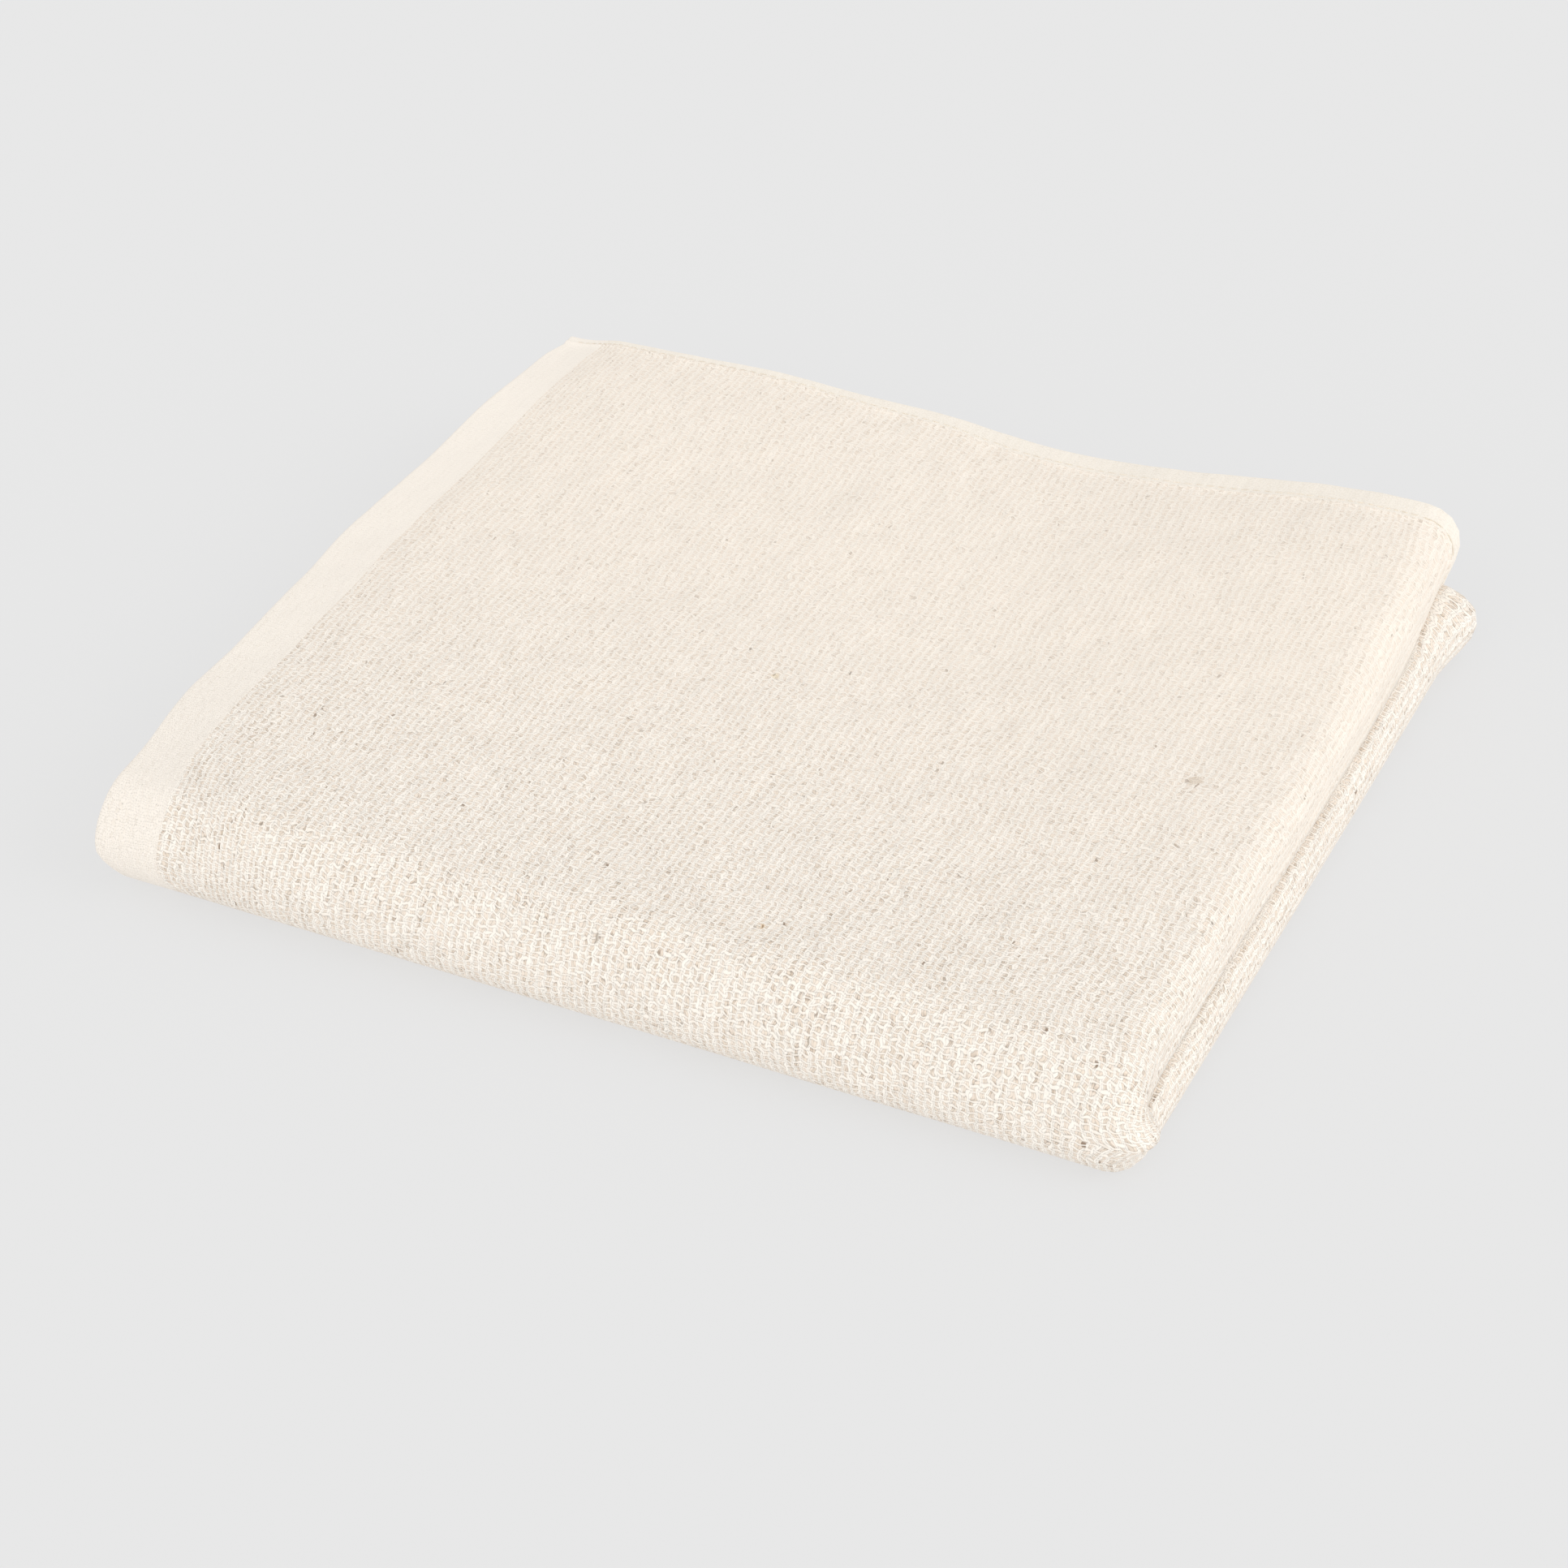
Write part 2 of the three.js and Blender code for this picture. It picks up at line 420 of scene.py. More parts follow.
@dataclass(frozen=True)
class Settling:
    """Moves the plain stack to where soft cloth lies once it has settled.

    A pair whose name ends in part, back, middle or layers is a stretch over which a move grows
    from nothing to whole, in shares of the width, the depth or the height. A pair that ends in
    bulge is the middle and the spread of a move that is largest in between.
    """

    stack: Stack = Stack()
    upper_edge_in: float = 3.2 * MM
    back_edge_in: float = 5.6 * MM
    roll_edge_in: float = 4.0 * MM
    under_roll_edge_in: float = 5 * MM
    roll_band_spread: float = 5 * MM
    edge_reach: float = 0.13
    edge_stagger: float = 0.9 * MM
    stagger_waves: int = 2
    edge_waves: tuple[EdgeWave, ...] = (
        EdgeWave(0.09, 0.080, 1.3 * MM),
        EdgeWave(0.27, 0.120, -1.2 * MM),
        EdgeWave(0.53, 0.075, -2.3 * MM),
        EdgeWave(0.80, 0.090, 1.4 * MM),
    )
    nose_swell: float = 0.10
    back_nose_swell: float = 0.40
    nose_reach: float = 11 * MM
    lower_nose_in: float = -0.4 * MM
    upper_nose_in: float = 2.8 * MM
    lower_back_out: float = 2.7 * MM
    upper_back_out: float = -1.0 * MM
    groove_fill: float = 3.8 * MM
    groove_level: float = 0.5
    groove_spread: float = 0.085
    groove_reach: tuple[float, float] = (17 * MM, 4 * MM)
    roll_lean: float = -0.3 * MM
    roll_lean_right: float = 4.1 * MM
    roll_share: float = 0.12
    back_bow: float = 1.5 * MM
    corner_in: float = 2.5 * MM
    edge_ripple: float = 0.35 * MM
    ripple_length: float = 46 * MM
    ripple_shifts: tuple[float, float] = (3.3, -2.7)
    roll_parting: float = 0.05
    to_middle: tuple[float, float] = (0.0, 0.5)
    to_back: tuple[float, float] = (0.55, 1.0)
    upper_layers: tuple[float, float] = (0.2, 0.9)
    under_layers: tuple[float, float] = (0.55, 0.15)
    upper_nose: tuple[float, float] = (0.3, 0.7)
    edge_at_back: tuple[float, float] = (0.74, 1.0)
    band_bulge: tuple[float, float] = (0.09, 0.07)
    swell_at_back: tuple[float, float] = (0.86, 1.0)
    noses_part: tuple[float, float] = (0.8, 1.0)
    noses_at_back: tuple[float, float] = (0.9, 1.0)
    groove_before_back: tuple[float, float] = (1.0, 0.8)
    lean_part: tuple[float, float] = (0.2, 0.0)
    bow_bulge: tuple[float, float] = (0.62, 0.12)
    bow_part: tuple[float, float] = (0.7, 1.0)
    corner_part: tuple[float, float] = (0.12, 0.0)
    corner_at_back: tuple[float, float] = (0.95, 1.0)
    broad_waves: Waves = Waves(seed=11, count=9, shortest=30 * MM, longest=75 * MM, amount=0.16 * MM)
    small_waves: Waves = Waves(seed=23, count=14, shortest=9 * MM, longest=20 * MM, amount=0.05 * MM)

    def uneven(self, x: np.ndarray, y: np.ndarray) -> np.ndarray:
        """Soft creases and low waves of the top.

        Args:
            x: Places from the left.
            y: Places from the front.

        Returns:
            Rises of the top.
        """
        rise = self.broad_waves.rise(x, y) + self.small_waves.rise(x, y)
        for crease in SOFT_CREASES:
            turn = math.radians(crease.turn)
            run = (x - crease.x) * math.cos(turn) + (y - crease.y) * math.sin(turn)
            aside = (y - crease.y) * math.cos(turn) - (x - crease.x) * math.sin(turn)
            shape = bell(0.0, crease.half_run, run) * bell(0.0, crease.half_width, aside)
            rise = rise + crease.rise * shape
        return rise

    def height(
        self, across_share: np.ndarray, depth_share: np.ndarray, level: np.ndarray
    ) -> np.ndarray:
        """Settled heights: the parting of the two halves stays near the middle.

        Args:
            across_share: Shares of the width from the left.
            depth_share: Shares of the depth from the front.
            level: Shares of the plain stack's height.

        Returns:
            Heights over the floor.
        """
        front, middle, back = (top_height(name, across_share) for name in TopHeight._fields[1:])
        top = lerp(front, middle, ease(*self.to_middle, depth_share))
        top = lerp(top, back, ease(*self.to_back, depth_share))
        in_roll = ease(self.roll_share, 0.0, depth_share)
        parting = top * (0.5 - self.roll_parting * in_roll)
        bend = 2.0 * top - 4.0 * parting
        return (top - bend) * level + bend * level * level

    def settle(
        self, x: np.ndarray, y: np.ndarray, z: np.ndarray
    ) -> tuple[np.ndarray, np.ndarray, np.ndarray]:
        """Moves places of the plain stack to where they settle.

        Args:
            x: Places from the left.
            y: Places from the front.
            z: Heights in the plain stack.

        Returns:
            The same places, settled.
        """
        across_share = x / self.stack.folded_width
        depth_share = y / self.stack.folded_depth
        level = z / self.stack.height
        in_roll = ease(self.roll_share, 0.0, depth_share)
        stagger = self.edge_stagger * np.sin(2.0 * math.pi * self.stagger_waves * level)
        side_shift, back_shift = self.ripple_shifts
        side_ripple = 2.0 * math.pi * (y / self.ripple_length + side_shift * level)
        back_ripple = 2.0 * math.pi * (x / self.ripple_length + back_shift * level)

        # Woven edges on the left
        high = ease(*self.upper_layers, level)
        low = ease(*self.under_layers, level)
        at_back = ease(*self.edge_at_back, depth_share)
        edge_in = self.upper_edge_in * high * (1.0 - in_roll) + self.back_edge_in * high * at_back
        edge_in = edge_in + (self.roll_edge_in + self.under_roll_edge_in * low) * in_roll
        edge_in = edge_in - (stagger + self.edge_ripple * np.sin(side_ripple)) * (1.0 - in_roll)
        for wave in self.edge_waves:
            edge_in = edge_in + wave.amount * bell(wave.depth_share, wave.spread, depth_share)
        new_x = x + edge_in * ease(self.edge_reach, 0.0, across_share)
        new_x = new_x + self.roll_band_spread * in_roll * bell(*self.band_bulge, across_share)

        # Noses on the right
        gone = self.stack.folded_width - x
        swell = self.nose_swell + self.back_nose_swell * ease(*self.swell_at_back, depth_share)
        new_x = new_x - swell * gone * bell(0.0, self.nose_reach, gone)
        to_upper = ease(*self.upper_nose, level)
        nose_in = lerp(self.lower_nose_in, self.upper_nose_in, to_upper) * (1.0 - in_roll)
        back_out = lerp(self.lower_back_out, self.upper_back_out, to_upper)
        back_out = back_out * ease(*self.noses_at_back, depth_share)
        new_x = new_x + (back_out - nose_in) * ease(*self.noses_part, across_share)
        filled = bell(self.groove_level, self.groove_spread, level) * ease(*self.groove_reach, gone)
        new_x = new_x + self.groove_fill * filled * ease(*self.groove_before_back, depth_share)

        # Front roll and back edge
        lean = (self.roll_lean + self.roll_lean_right * across_share) * ease(1.0, 0.0, level)
        new_y = y - lean * ease(*self.lean_part, depth_share)
        bow = self.back_bow * bell(*self.bow_bulge, across_share) + stagger
        bow = bow + self.edge_ripple * np.sin(back_ripple)
        new_y = new_y - bow * ease(*self.bow_part, depth_share)

        # Back left corner
        corner = ease(*self.corner_part, across_share) * ease(*self.corner_at_back, depth_share)
        new_x = new_x + self.corner_in * corner * high

        new_z = self.height(across_share, depth_share, level)
        new_z = new_z + self.uneven(x, y) * np.clip(level, 0.0, 1.0)
        return new_x, new_y, new_z


class Zone(Enum):
    """Zones of the cloth that are woven or finished each in its own way."""

    BODY = 0
    BAND = 1
    HEM = 2


class Stop(NamedTuple):
    """A place in the cloth, and its share of the baked picture in one direction."""

    place: float
    share: float


@dataclass(frozen=True)
class TowelCloth:
    """The whole towel as one closed sheet, finest where it shows."""

    settling: Settling = Settling()
    shown_step: float = 2.5 * MM
    under_step: float = 6 * MM
    hidden_step: float = 7 * MM
    edge_step: float = 0.35 * MM
    seam_step: float = 0.45 * MM
    hem_step: float = 1.4 * MM
    turn_step: float = 1.3 * MM
    across_stops: tuple[Stop, ...] = (
        Stop(-250 * MM, 0.010),
        Stop(-12 * MM, 0.060),
        Stop(250 * MM, 0.935),
    )
    along_stops: tuple[Stop, ...] = (
        Stop(-438 * MM, 0.010),
        Stop(-8 * MM, 0.050),
        Stop(200 * MM, 0.290),
        Stop(438 * MM, 0.990),
    )
    inner_shares: tuple[float, float] = (0.946, 0.992)
    rim_share: float = 0.006
    top_line: float = 330 * MM
    hem_shown: tuple[float, float] = (0.88, 0.30)
    hem_narrows: tuple[float, float] = (70 * MM, 215 * MM)
    hem_draw_reach: float = 60 * MM

    @property
    def cut(self) -> CutCloth:
        """The cloth before it is folded."""
        return self.settling.stack.cut

    def drawn(self, across: np.ndarray, along: np.ndarray) -> np.ndarray:
        """Draws the end on top over its edge, so that its hem shows less towards the left.

        Args:
            across: Places across the cloth.
            along: Places along the cloth.

        Returns:
            The places along the cloth where these lie then.
        """
        hem, reach = self.cut.hem_depth, self.hem_draw_reach
        shown = hem * lerp(*self.hem_shown, ease(*self.hem_narrows, across))
        from_end = self.cut.half_length - along
        within = from_end * shown / hem
        beyond = shown + (from_end - hem) * (reach - shown) / (reach - hem)
        moved = self.cut.half_length - np.where(from_end < hem, within, beyond)
        return np.where(from_end < reach, moved, along)

    def lines_across(self) -> np.ndarray:
        """Grid lines across the width, close together at the edges and in the side fold.

        Returns:
            Their places across the cloth.
        """
        half, edge = self.cut.half_width, self.cut.edge_round
        band = half - self.cut.band_width
        turn = self.settling.stack.side_fold.quarter
        return lines(
            -half,
            [
                (-half + edge, self.edge_step),
                (-band, self.hidden_step),
                (-turn, self.hidden_step),
                (turn, self.turn_step),
                (band, self.shown_step),
                (half - edge, self.shown_step),
                (half, self.edge_step),
            ],
        )

    def lines_along(self) -> np.ndarray:
        """Grid lines along the length, close together at the hems and in the other folds.

        Returns:
            Their places along the cloth.
        """
        stack = self.settling.stack
        half, edge = self.cut.half_length, self.cut.edge_round
        hem = half - self.cut.hem_depth
        seam = self.cut.seam_place + 2 * self.cut.seam_spread
        hems_turn = stack.hems_fold.quarter
        nose, turn = stack.front_nose, stack.front_fold.quarter
        return lines(
            -half,
            [
                (-half + edge, self.edge_step),
                (-hem, self.hem_step),
                (-nose - turn, self.hidden_step),
                (-nose + turn, self.turn_step),
                (-hems_turn, self.hidden_step),
                (hems_turn, self.turn_step),
                (nose - turn, self.under_step),
                (nose + turn, self.turn_step),
                (hem - self.cut.hem_step, self.shown_step),
                (hem, self.seam_step),
                (seam, self.seam_step),
                (half - edge, self.hem_step),
                (half, self.edge_step),
            ],
        )

    def plain_place(self, across: np.ndarray, along: np.ndarray, through: np.ndarray) -> np.ndarray:
        """Settled places, counted from the left and the front of the stack.

        Args:
            across: Places across the cloth.
            along: Places along the cloth.
            through: Heights through the cloth.

        Returns:
            An array with x, y and z in its last direction.
        """
        laid = self.settling.stack.lay(across, self.drawn(across, along), through)
        return np.stack(self.settling.settle(*laid), axis=-1)

    def worn_lengths(self) -> tuple[np.ndarray, np.ndarray]:
        """Lengths over the outer face up to each grid line, so that yarns keep their pitch.

        Returns:
            The lengths across and along, counted from the cloth's middle.
        """
        found = []
        across, along = self.lines_across(), self.lines_along()
        for places, line in (
            (across, (across, self.top_line + 0.0 * across)),
            (along, (self.cut.half_width / 2 + 0.0 * along, along)),
        ):
            points = self.plain_place(*line, self.cut.thickness / 2 + 0.0 * places)
            steps = np.linalg.norm(np.diff(points, axis=0), axis=1)
            lengths = np.concatenate([[0.0], np.cumsum(steps)])
            found.append(lengths - np.interp(0.0, places, lengths))
        return found[0], found[1]

    def seat(self) -> np.ndarray:
        """How far the settled stack is moved to lie where the part's own solid lies.

        Returns:
            The move along x, y and z.
        """
        across, along = np.meshgrid(self.lines_across(), self.lines_along())
        half = self.cut.half_thickness(across, along)
        found = np.concatenate([self.plain_place(across, along, s * half) for s in (-1, 1)])
        found = found.reshape(-1, 3)
        low, high = (np.array(corner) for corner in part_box(CLOTH_NODE))
        move = (low + high - found.min(axis=0) - found.max(axis=0)) / 2
        move[2] = low[2] - found[:, 2].min()
        return move

    def bake_shares(
        self, worn: np.ndarray, lines_at: np.ndarray, stops: tuple[Stop, ...]
    ) -> np.ndarray:
        """Places in one direction of the baked picture, with most of it for what shows.

        Args:
            worn: Lengths over the outer face at the grid lines.
            lines_at: The grid lines' own places in the cloth.
            stops: Shares of the picture at places in the cloth.

        Returns:
            A share for each grid line.
        """
        at = np.interp([stop.place for stop in stops], lines_at, worn)
        return np.interp(worn, at, [stop.share for stop in stops])

    def rim(self, rows: int, columns: int) -> np.ndarray:
        """Grid corners around the cloth's rim, in turn.

        Args:
            rows: How many rows the grid has.
            columns: How many columns it has.

        Returns:
            A row and a column for each corner.
        """
        bottom = [(0, c) for c in range(columns - 1)]
        right = [(r, columns - 1) for r in range(rows - 1)]
        top = [(rows - 1, c) for c in range(columns - 1, 0, -1)]
        left = [(r, 0) for r in range(rows - 1, 0, -1)]
        return np.array(bottom + right + top + left)

    def build(self, seat: np.ndarray, finishes: dict[Zone, bpy.types.Material]) -> bpy.types.Object:
        """Makes the cloth.

        Args:
            seat: The move that seat() gives.
            finishes: The material of each zone.

        Returns:
            The cloth's object.
        """
        lines_across, lines_along = self.lines_across(), self.lines_along()
        across, along = np.meshgrid(lines_across, lines_along)
        rows, columns = across.shape
        half = self.cut.half_thickness(across, along)
        inner = self.plain_place(across, along, -half) + seat
        outer = self.plain_place(across, along, half) + seat
        points = np.concatenate([inner.reshape(-1, 3), outer.reshape(-1, 3)])

        number = np.arange(rows * columns).reshape(rows, columns)
        corners = (number[:-1, :-1], number[:-1, 1:], number[1:, 1:], number[1:, :-1])
        inner_quads = np.stack([c.ravel() for c in corners], axis=1)
        outer_quads = inner_quads[:, ::-1] + number.size

        rim = self.rim(rows, columns)
        here = number[rim[:, 0], rim[:, 1]]
        after = np.roll(here, -1)
        rim_quads = np.stack([here + number.size, after + number.size, after, here], axis=1)
        quads = np.concatenate([inner_quads, outer_quads, rim_quads])

        place = np.tile(np.stack([across.ravel(), along.ravel()], axis=1), (2, 1))
        rim_middle = place[rim_quads[:, :2]].mean(axis=1)
        reach = np.abs(rim_middle) / np.array([self.cut.half_width, self.cut.half_length])
        outwards = np.sign(rim_middle) * (reach == reach.max(axis=1, keepdims=True))
        past_rim = outwards[:, None]

        worn_across, worn_along = self.worn_lengths()
        worn = np.stack(np.meshgrid(worn_across, worn_along), axis=-1).reshape(-1, 2)
        weave_map = np.tile(worn, (2, 1))[quads]
        weave_map[-len(rim_quads) :, 2:] += past_rim * self.cut.thickness * self.cut.rim_share

        u_outer = self.bake_shares(worn_across, lines_across, self.across_stops)
        u_inner = np.interp(lines_across, lines_across[[0, -1]], self.inner_shares)
        v = self.bake_shares(worn_along, lines_along, self.along_stops)
        faces = [np.stack(np.meshgrid(u, v), axis=-1).reshape(-1, 2) for u in (u_inner, u_outer)]
        bake_map = np.concatenate(faces)[quads]
        bake_map[-len(rim_quads) :, 2:] = bake_map[-len(rim_quads) :, 1::-1] + past_rim * self.rim_share
        zones = self.zones(place[quads].mean(axis=1))
        cloth = mesh_object("woven_towel", points, quads, {"cloth": weave_map, "OFBake": bake_map})
        for zone in Zone:
            cloth.data.materials.append(finishes[zone])
        cloth.data.polygons.foreach_set("material_index", zones.astype(np.int32))
        return cloth

    def zones(self, middles: np.ndarray) -> np.ndarray:
        """Zone of each face, from the place of its middle.

        Args:
            middles: Places across and along the cloth.

        Returns:
            Values of Zone.
        """
        across, along = np.abs(middles).T
        found = np.full(len(middles), Zone.BODY.value)
        found[along > self.cut.half_length - self.cut.hem_depth] = Zone.HEM.value
        found[across > self.cut.half_width - self.cut.band_width] = Zone.BAND.value
        return found


@dataclass(frozen=True)
class HemStitches:
    """The row of short stitches that shows along the hem on top."""

    cloth: TowelCloth = TowelCloth()
    pitch: float = 2.8 * MM
    half_length: float = 1.22 * MM
    radius: float = 0.15 * MM
    sink: float = 0.18 * MM
    rings: int = 7
    sides: int = 8
    seed: int = 5
    slant: float = 0.12 * MM
    scatter: float = 0.05
    taper: float = 0.75
    raised: float = 0.35

    def build(self, seat: np.ndarray, finish: bpy.types.Material) -> bpy.types.Object:
        """Makes the stitches as one joined mesh.

        Args:
            seat: The move that the cloth has too.
            finish: The thread's material.

        Returns:
            The stitches' object.
        """
        cut = self.cloth.cut
        count = int((cut.half_width - cut.edge_round) / self.pitch)
        random = np.random.default_rng(self.seed)
        middles = (np.arange(count) + 0.5 + random.normal(0, self.scatter, count)) * self.pitch
        slants = random.normal(0, 1, count) * self.slant

        run = np.linspace(-1.0, 1.0, self.rings)[None, :, None]
        turn = np.linspace(0.0, 2.0 * math.pi, self.sides, endpoint=False)[None, None, :]
        girth = self.radius * np.sqrt(1.0 - self.taper * run**4)
        across = middles[:, None, None] + run * self.half_length + 0.0 * turn
        along = cut.seam_place + slants[:, None, None] * run + girth * np.cos(turn)
        surface = cut.half_thickness(across, np.full(across.shape, cut.seam_place))
        through = surface + self.radius * self.raised - self.sink * run**4 + girth * np.sin(turn)
        points = self.cloth.plain_place(across, along + 0.0 * across, through) + seat

        number = np.arange(self.rings * self.sides).reshape(self.rings, self.sides)
        beside = np.roll(number, -1, axis=1)
        walls = np.stack([number[:-1], number[1:], beside[1:], beside[:-1]], axis=-1).reshape(-1, 4)
        ends = [number[0].tolist(), number[-1, ::-1].tolist()]
        step = number.size
        faces = []
        for k in range(count):
            faces += (walls + k * step).tolist()
            faces += [[corner + k * step for corner in end] for end in ends]
        mesh = bpy.data.meshes.new("hem_stitches")
        mesh.from_pydata(points.reshape(-1, 3).tolist(), [], faces)
        mesh.polygons.foreach_set("use_smooth", np.ones(len(faces), bool))
        mesh.materials.append(finish)
        return link_object("hem_stitches", mesh)


def link_object(name: str, data: bpy.types.ID) -> bpy.types.Object:
    """Puts new data into the scene.

    Args:
        name: The new object's name.
        data: Its mesh, light or camera.

    Returns:
        The object.
    """
    made = bpy.data.objects.new(name, data)
    bpy.context.scene.collection.objects.link(made)
    return made


def mesh_object(
    name: str, points: np.ndarray, quads: np.ndarray, maps: dict[str, np.ndarray]
) -> bpy.types.Object:
    """Makes a smooth mesh of quads.

    Args:
        name: The object's name.
        points: Its corners' places.
        quads: Four corner numbers for each face.
        maps: For each UV map, a pair for each corner of each face.

    Returns:
        The new object, linked to the scene.
    """
    mesh = bpy.data.meshes.new(name)
    mesh.vertices.add(len(points))
    mesh.vertices.foreach_set("co", points.astype(np.float32).ravel())
    mesh.loops.add(quads.size)
    mesh.loops.foreach_set("vertex_index", quads.astype(np.int32).ravel())
    mesh.polygons.add(len(quads))
    mesh.polygons.foreach_set("loop_start", np.arange(0, quads.size, 4, dtype=np.int32))
    mesh.polygons.foreach_set("use_smooth", np.ones(len(quads), bool))
    for map_name, pairs in maps.items():
        layer = mesh.uv_layers.new(name=map_name)
        layer.uv.foreach_set("vector", pairs.astype(np.float32).ravel())
    mesh.update(calc_edges=True)
    mesh.validate()
    return link_object(name, mesh)


# Shader node groups, shared by the finishes


class Graph:
    """A node tree that is written as expressions."""

    def __init__(self, tree: bpy.types.NodeTree) -> None:
        """Takes the tree to write in."""
        self.tree = tree

    def feed(self, socket: Socket, value: Value) -> None:
        """Links an output to a socket, or sets the socket to a value.

        Args:
            socket: The input to feed.
            value: An output of another node, or a plain value.
        """
        if isinstance(value, Socket):
            self.tree.links.new(value, socket)
        else:
            socket.default_value = value

    def add(self, kind: str, inputs: dict[str | int, Value], **settings: object) -> bpy.types.Node:
        """Adds a node.

        Args:
            kind: The node's type.
            inputs: Links or values by the socket's name or number.
            **settings: The node's own properties.

        Returns:
            The node.
        """
        node = self.tree.nodes.new(kind)
        for name, setting in settings.items():
            setattr(node, name, setting)
        for key, value in inputs.items():
            self.feed(node.inputs[key], value)
        return node

    def maths(self, operation: str, *values: Value) -> Socket:
        """Result of a Math node."""
        return self.add("ShaderNodeMath", dict(enumerate(values)), operation=operation).outputs[0]

    def times(self, first: Value, *others: Value) -> Socket:
        """Product of numbers, from the first on.

        Args:
            first: The first number.
            *others: Those that it is multiplied by.

        Returns:
            The product.
        """
        for other in others:
            first = self.maths("MULTIPLY", first, other)
        return first

    def line(self, value: Value, slope: Value, start: Value) -> Socket:
        """A number times the slope, plus the start."""
        return self.maths("MULTIPLY_ADD", value, slope, start)

    def without(self, whole: Value, taken: Value) -> Socket:
        """The first number less the second."""
        return self.maths("SUBTRACT", whole, taken)

    def whole(self, value: Value, size: Value = 1.0) -> Socket:
        """How many whole sizes fit into a number."""
        return self.maths("FLOOR", self.maths("DIVIDE", value, size))

    def between(self, share: Value, low: Value, high: Value) -> Socket:
        """Number between low and high."""
        return self.add("ShaderNodeMix", {0: share, 2: low, 3: high}).outputs[0]

    def blend(self, share: Value, first: Value, second: Value) -> Socket:
        """Colour mixed from two."""
        inputs = {0: share, 6: first, 7: second}
        return self.add("ShaderNodeMix", inputs, data_type="RGBA").outputs[2]

    def vector(self, x: Value, y: Value) -> Socket:
        """Flat vector of two numbers."""
        return self.add("ShaderNodeCombineXYZ", {0: x, 1: y}).outputs[0]

    def scaled(self, x: Value, y: Value, x_size: Value, y_size: Value) -> Socket:
        """Flat vector of two places, each divided by a size."""
        return self.vector(self.maths("DIVIDE", x, x_size), self.maths("DIVIDE", y, y_size))

    def smooth_step(self, value: Value, start: Value, end: Value) -> Socket:
        """Smooth step of a number from 0 at start to 1 at end."""
        inputs = {0: value, 1: start, 2: end}
        return self.add("ShaderNodeMapRange", inputs, interpolation_type="SMOOTHSTEP").outputs[0]

    def chance(self, x: Value, y: Value) -> Socket:
        """Random number from 0 to 1 for a pair of whole numbers."""
        inputs = {"Vector": self.vector(x, y)}
        return self.add("ShaderNodeTexWhiteNoise", inputs, noise_dimensions="2D").outputs[0]

    def noise(self, place: Socket, detail: float = 0.0, output: int = 0) -> Socket:
        """Flat noise with spots of about one unit: its value, or with output 1 its colour."""
        inputs = {"Vector": place, "Scale": 1.0, "Detail": detail}
        return self.add("ShaderNodeTexNoise", inputs, noise_dimensions="2D").outputs[output]

    def bump(self, height: Value) -> Socket:
        """Normals of a surface that is raised by a height in metres."""
        inputs = {"Height": height, "Distance": 1.0, "Strength": 1.0}
        return self.add("ShaderNodeBump", inputs).outputs[0]

    def use(self, group: bpy.types.NodeTree, **inputs: Value) -> bpy.types.bpy_prop_collection:
        """Outputs of a group; an input is named by its words with _ between them."""
        named = {name.replace("_", " "): value for name, value in inputs.items()}
        return self.add("ShaderNodeGroup", named, node_tree=group).outputs


class GroupGraph(Graph):
    """A shader node group that is being written."""

    def __init__(self, name: str, inputs: dict[str, float], outputs: tuple[str, ...]) -> None:
        """Starts the group.

        Args:
            name: The group's name.
            inputs: Each number that it takes, with its default.
            outputs: Each number that it gives.
        """
        super().__init__(bpy.data.node_groups.new(name, "ShaderNodeTree"))
        sockets = self.tree.interface
        for label, default in inputs.items():
            socket = sockets.new_socket(label, in_out="INPUT", socket_type="NodeSocketFloat")
            socket.default_value = default
        for label in outputs:
            sockets.new_socket(label, in_out="OUTPUT", socket_type="NodeSocketFloat")
        entry = self.tree.nodes.new("NodeGroupInput")
        self.inputs = {socket.name: socket for socket in entry.outputs if socket.name}
        self.exit = self.tree.nodes.new("NodeGroupOutput")

    def give(self, **results: Value) -> bpy.types.NodeTree:
        """Feeds the results by name, and returns the finished group."""
        for name, value in results.items():
            self.feed(self.exit.inputs[name.replace("_", " ")], value)
        return self.tree


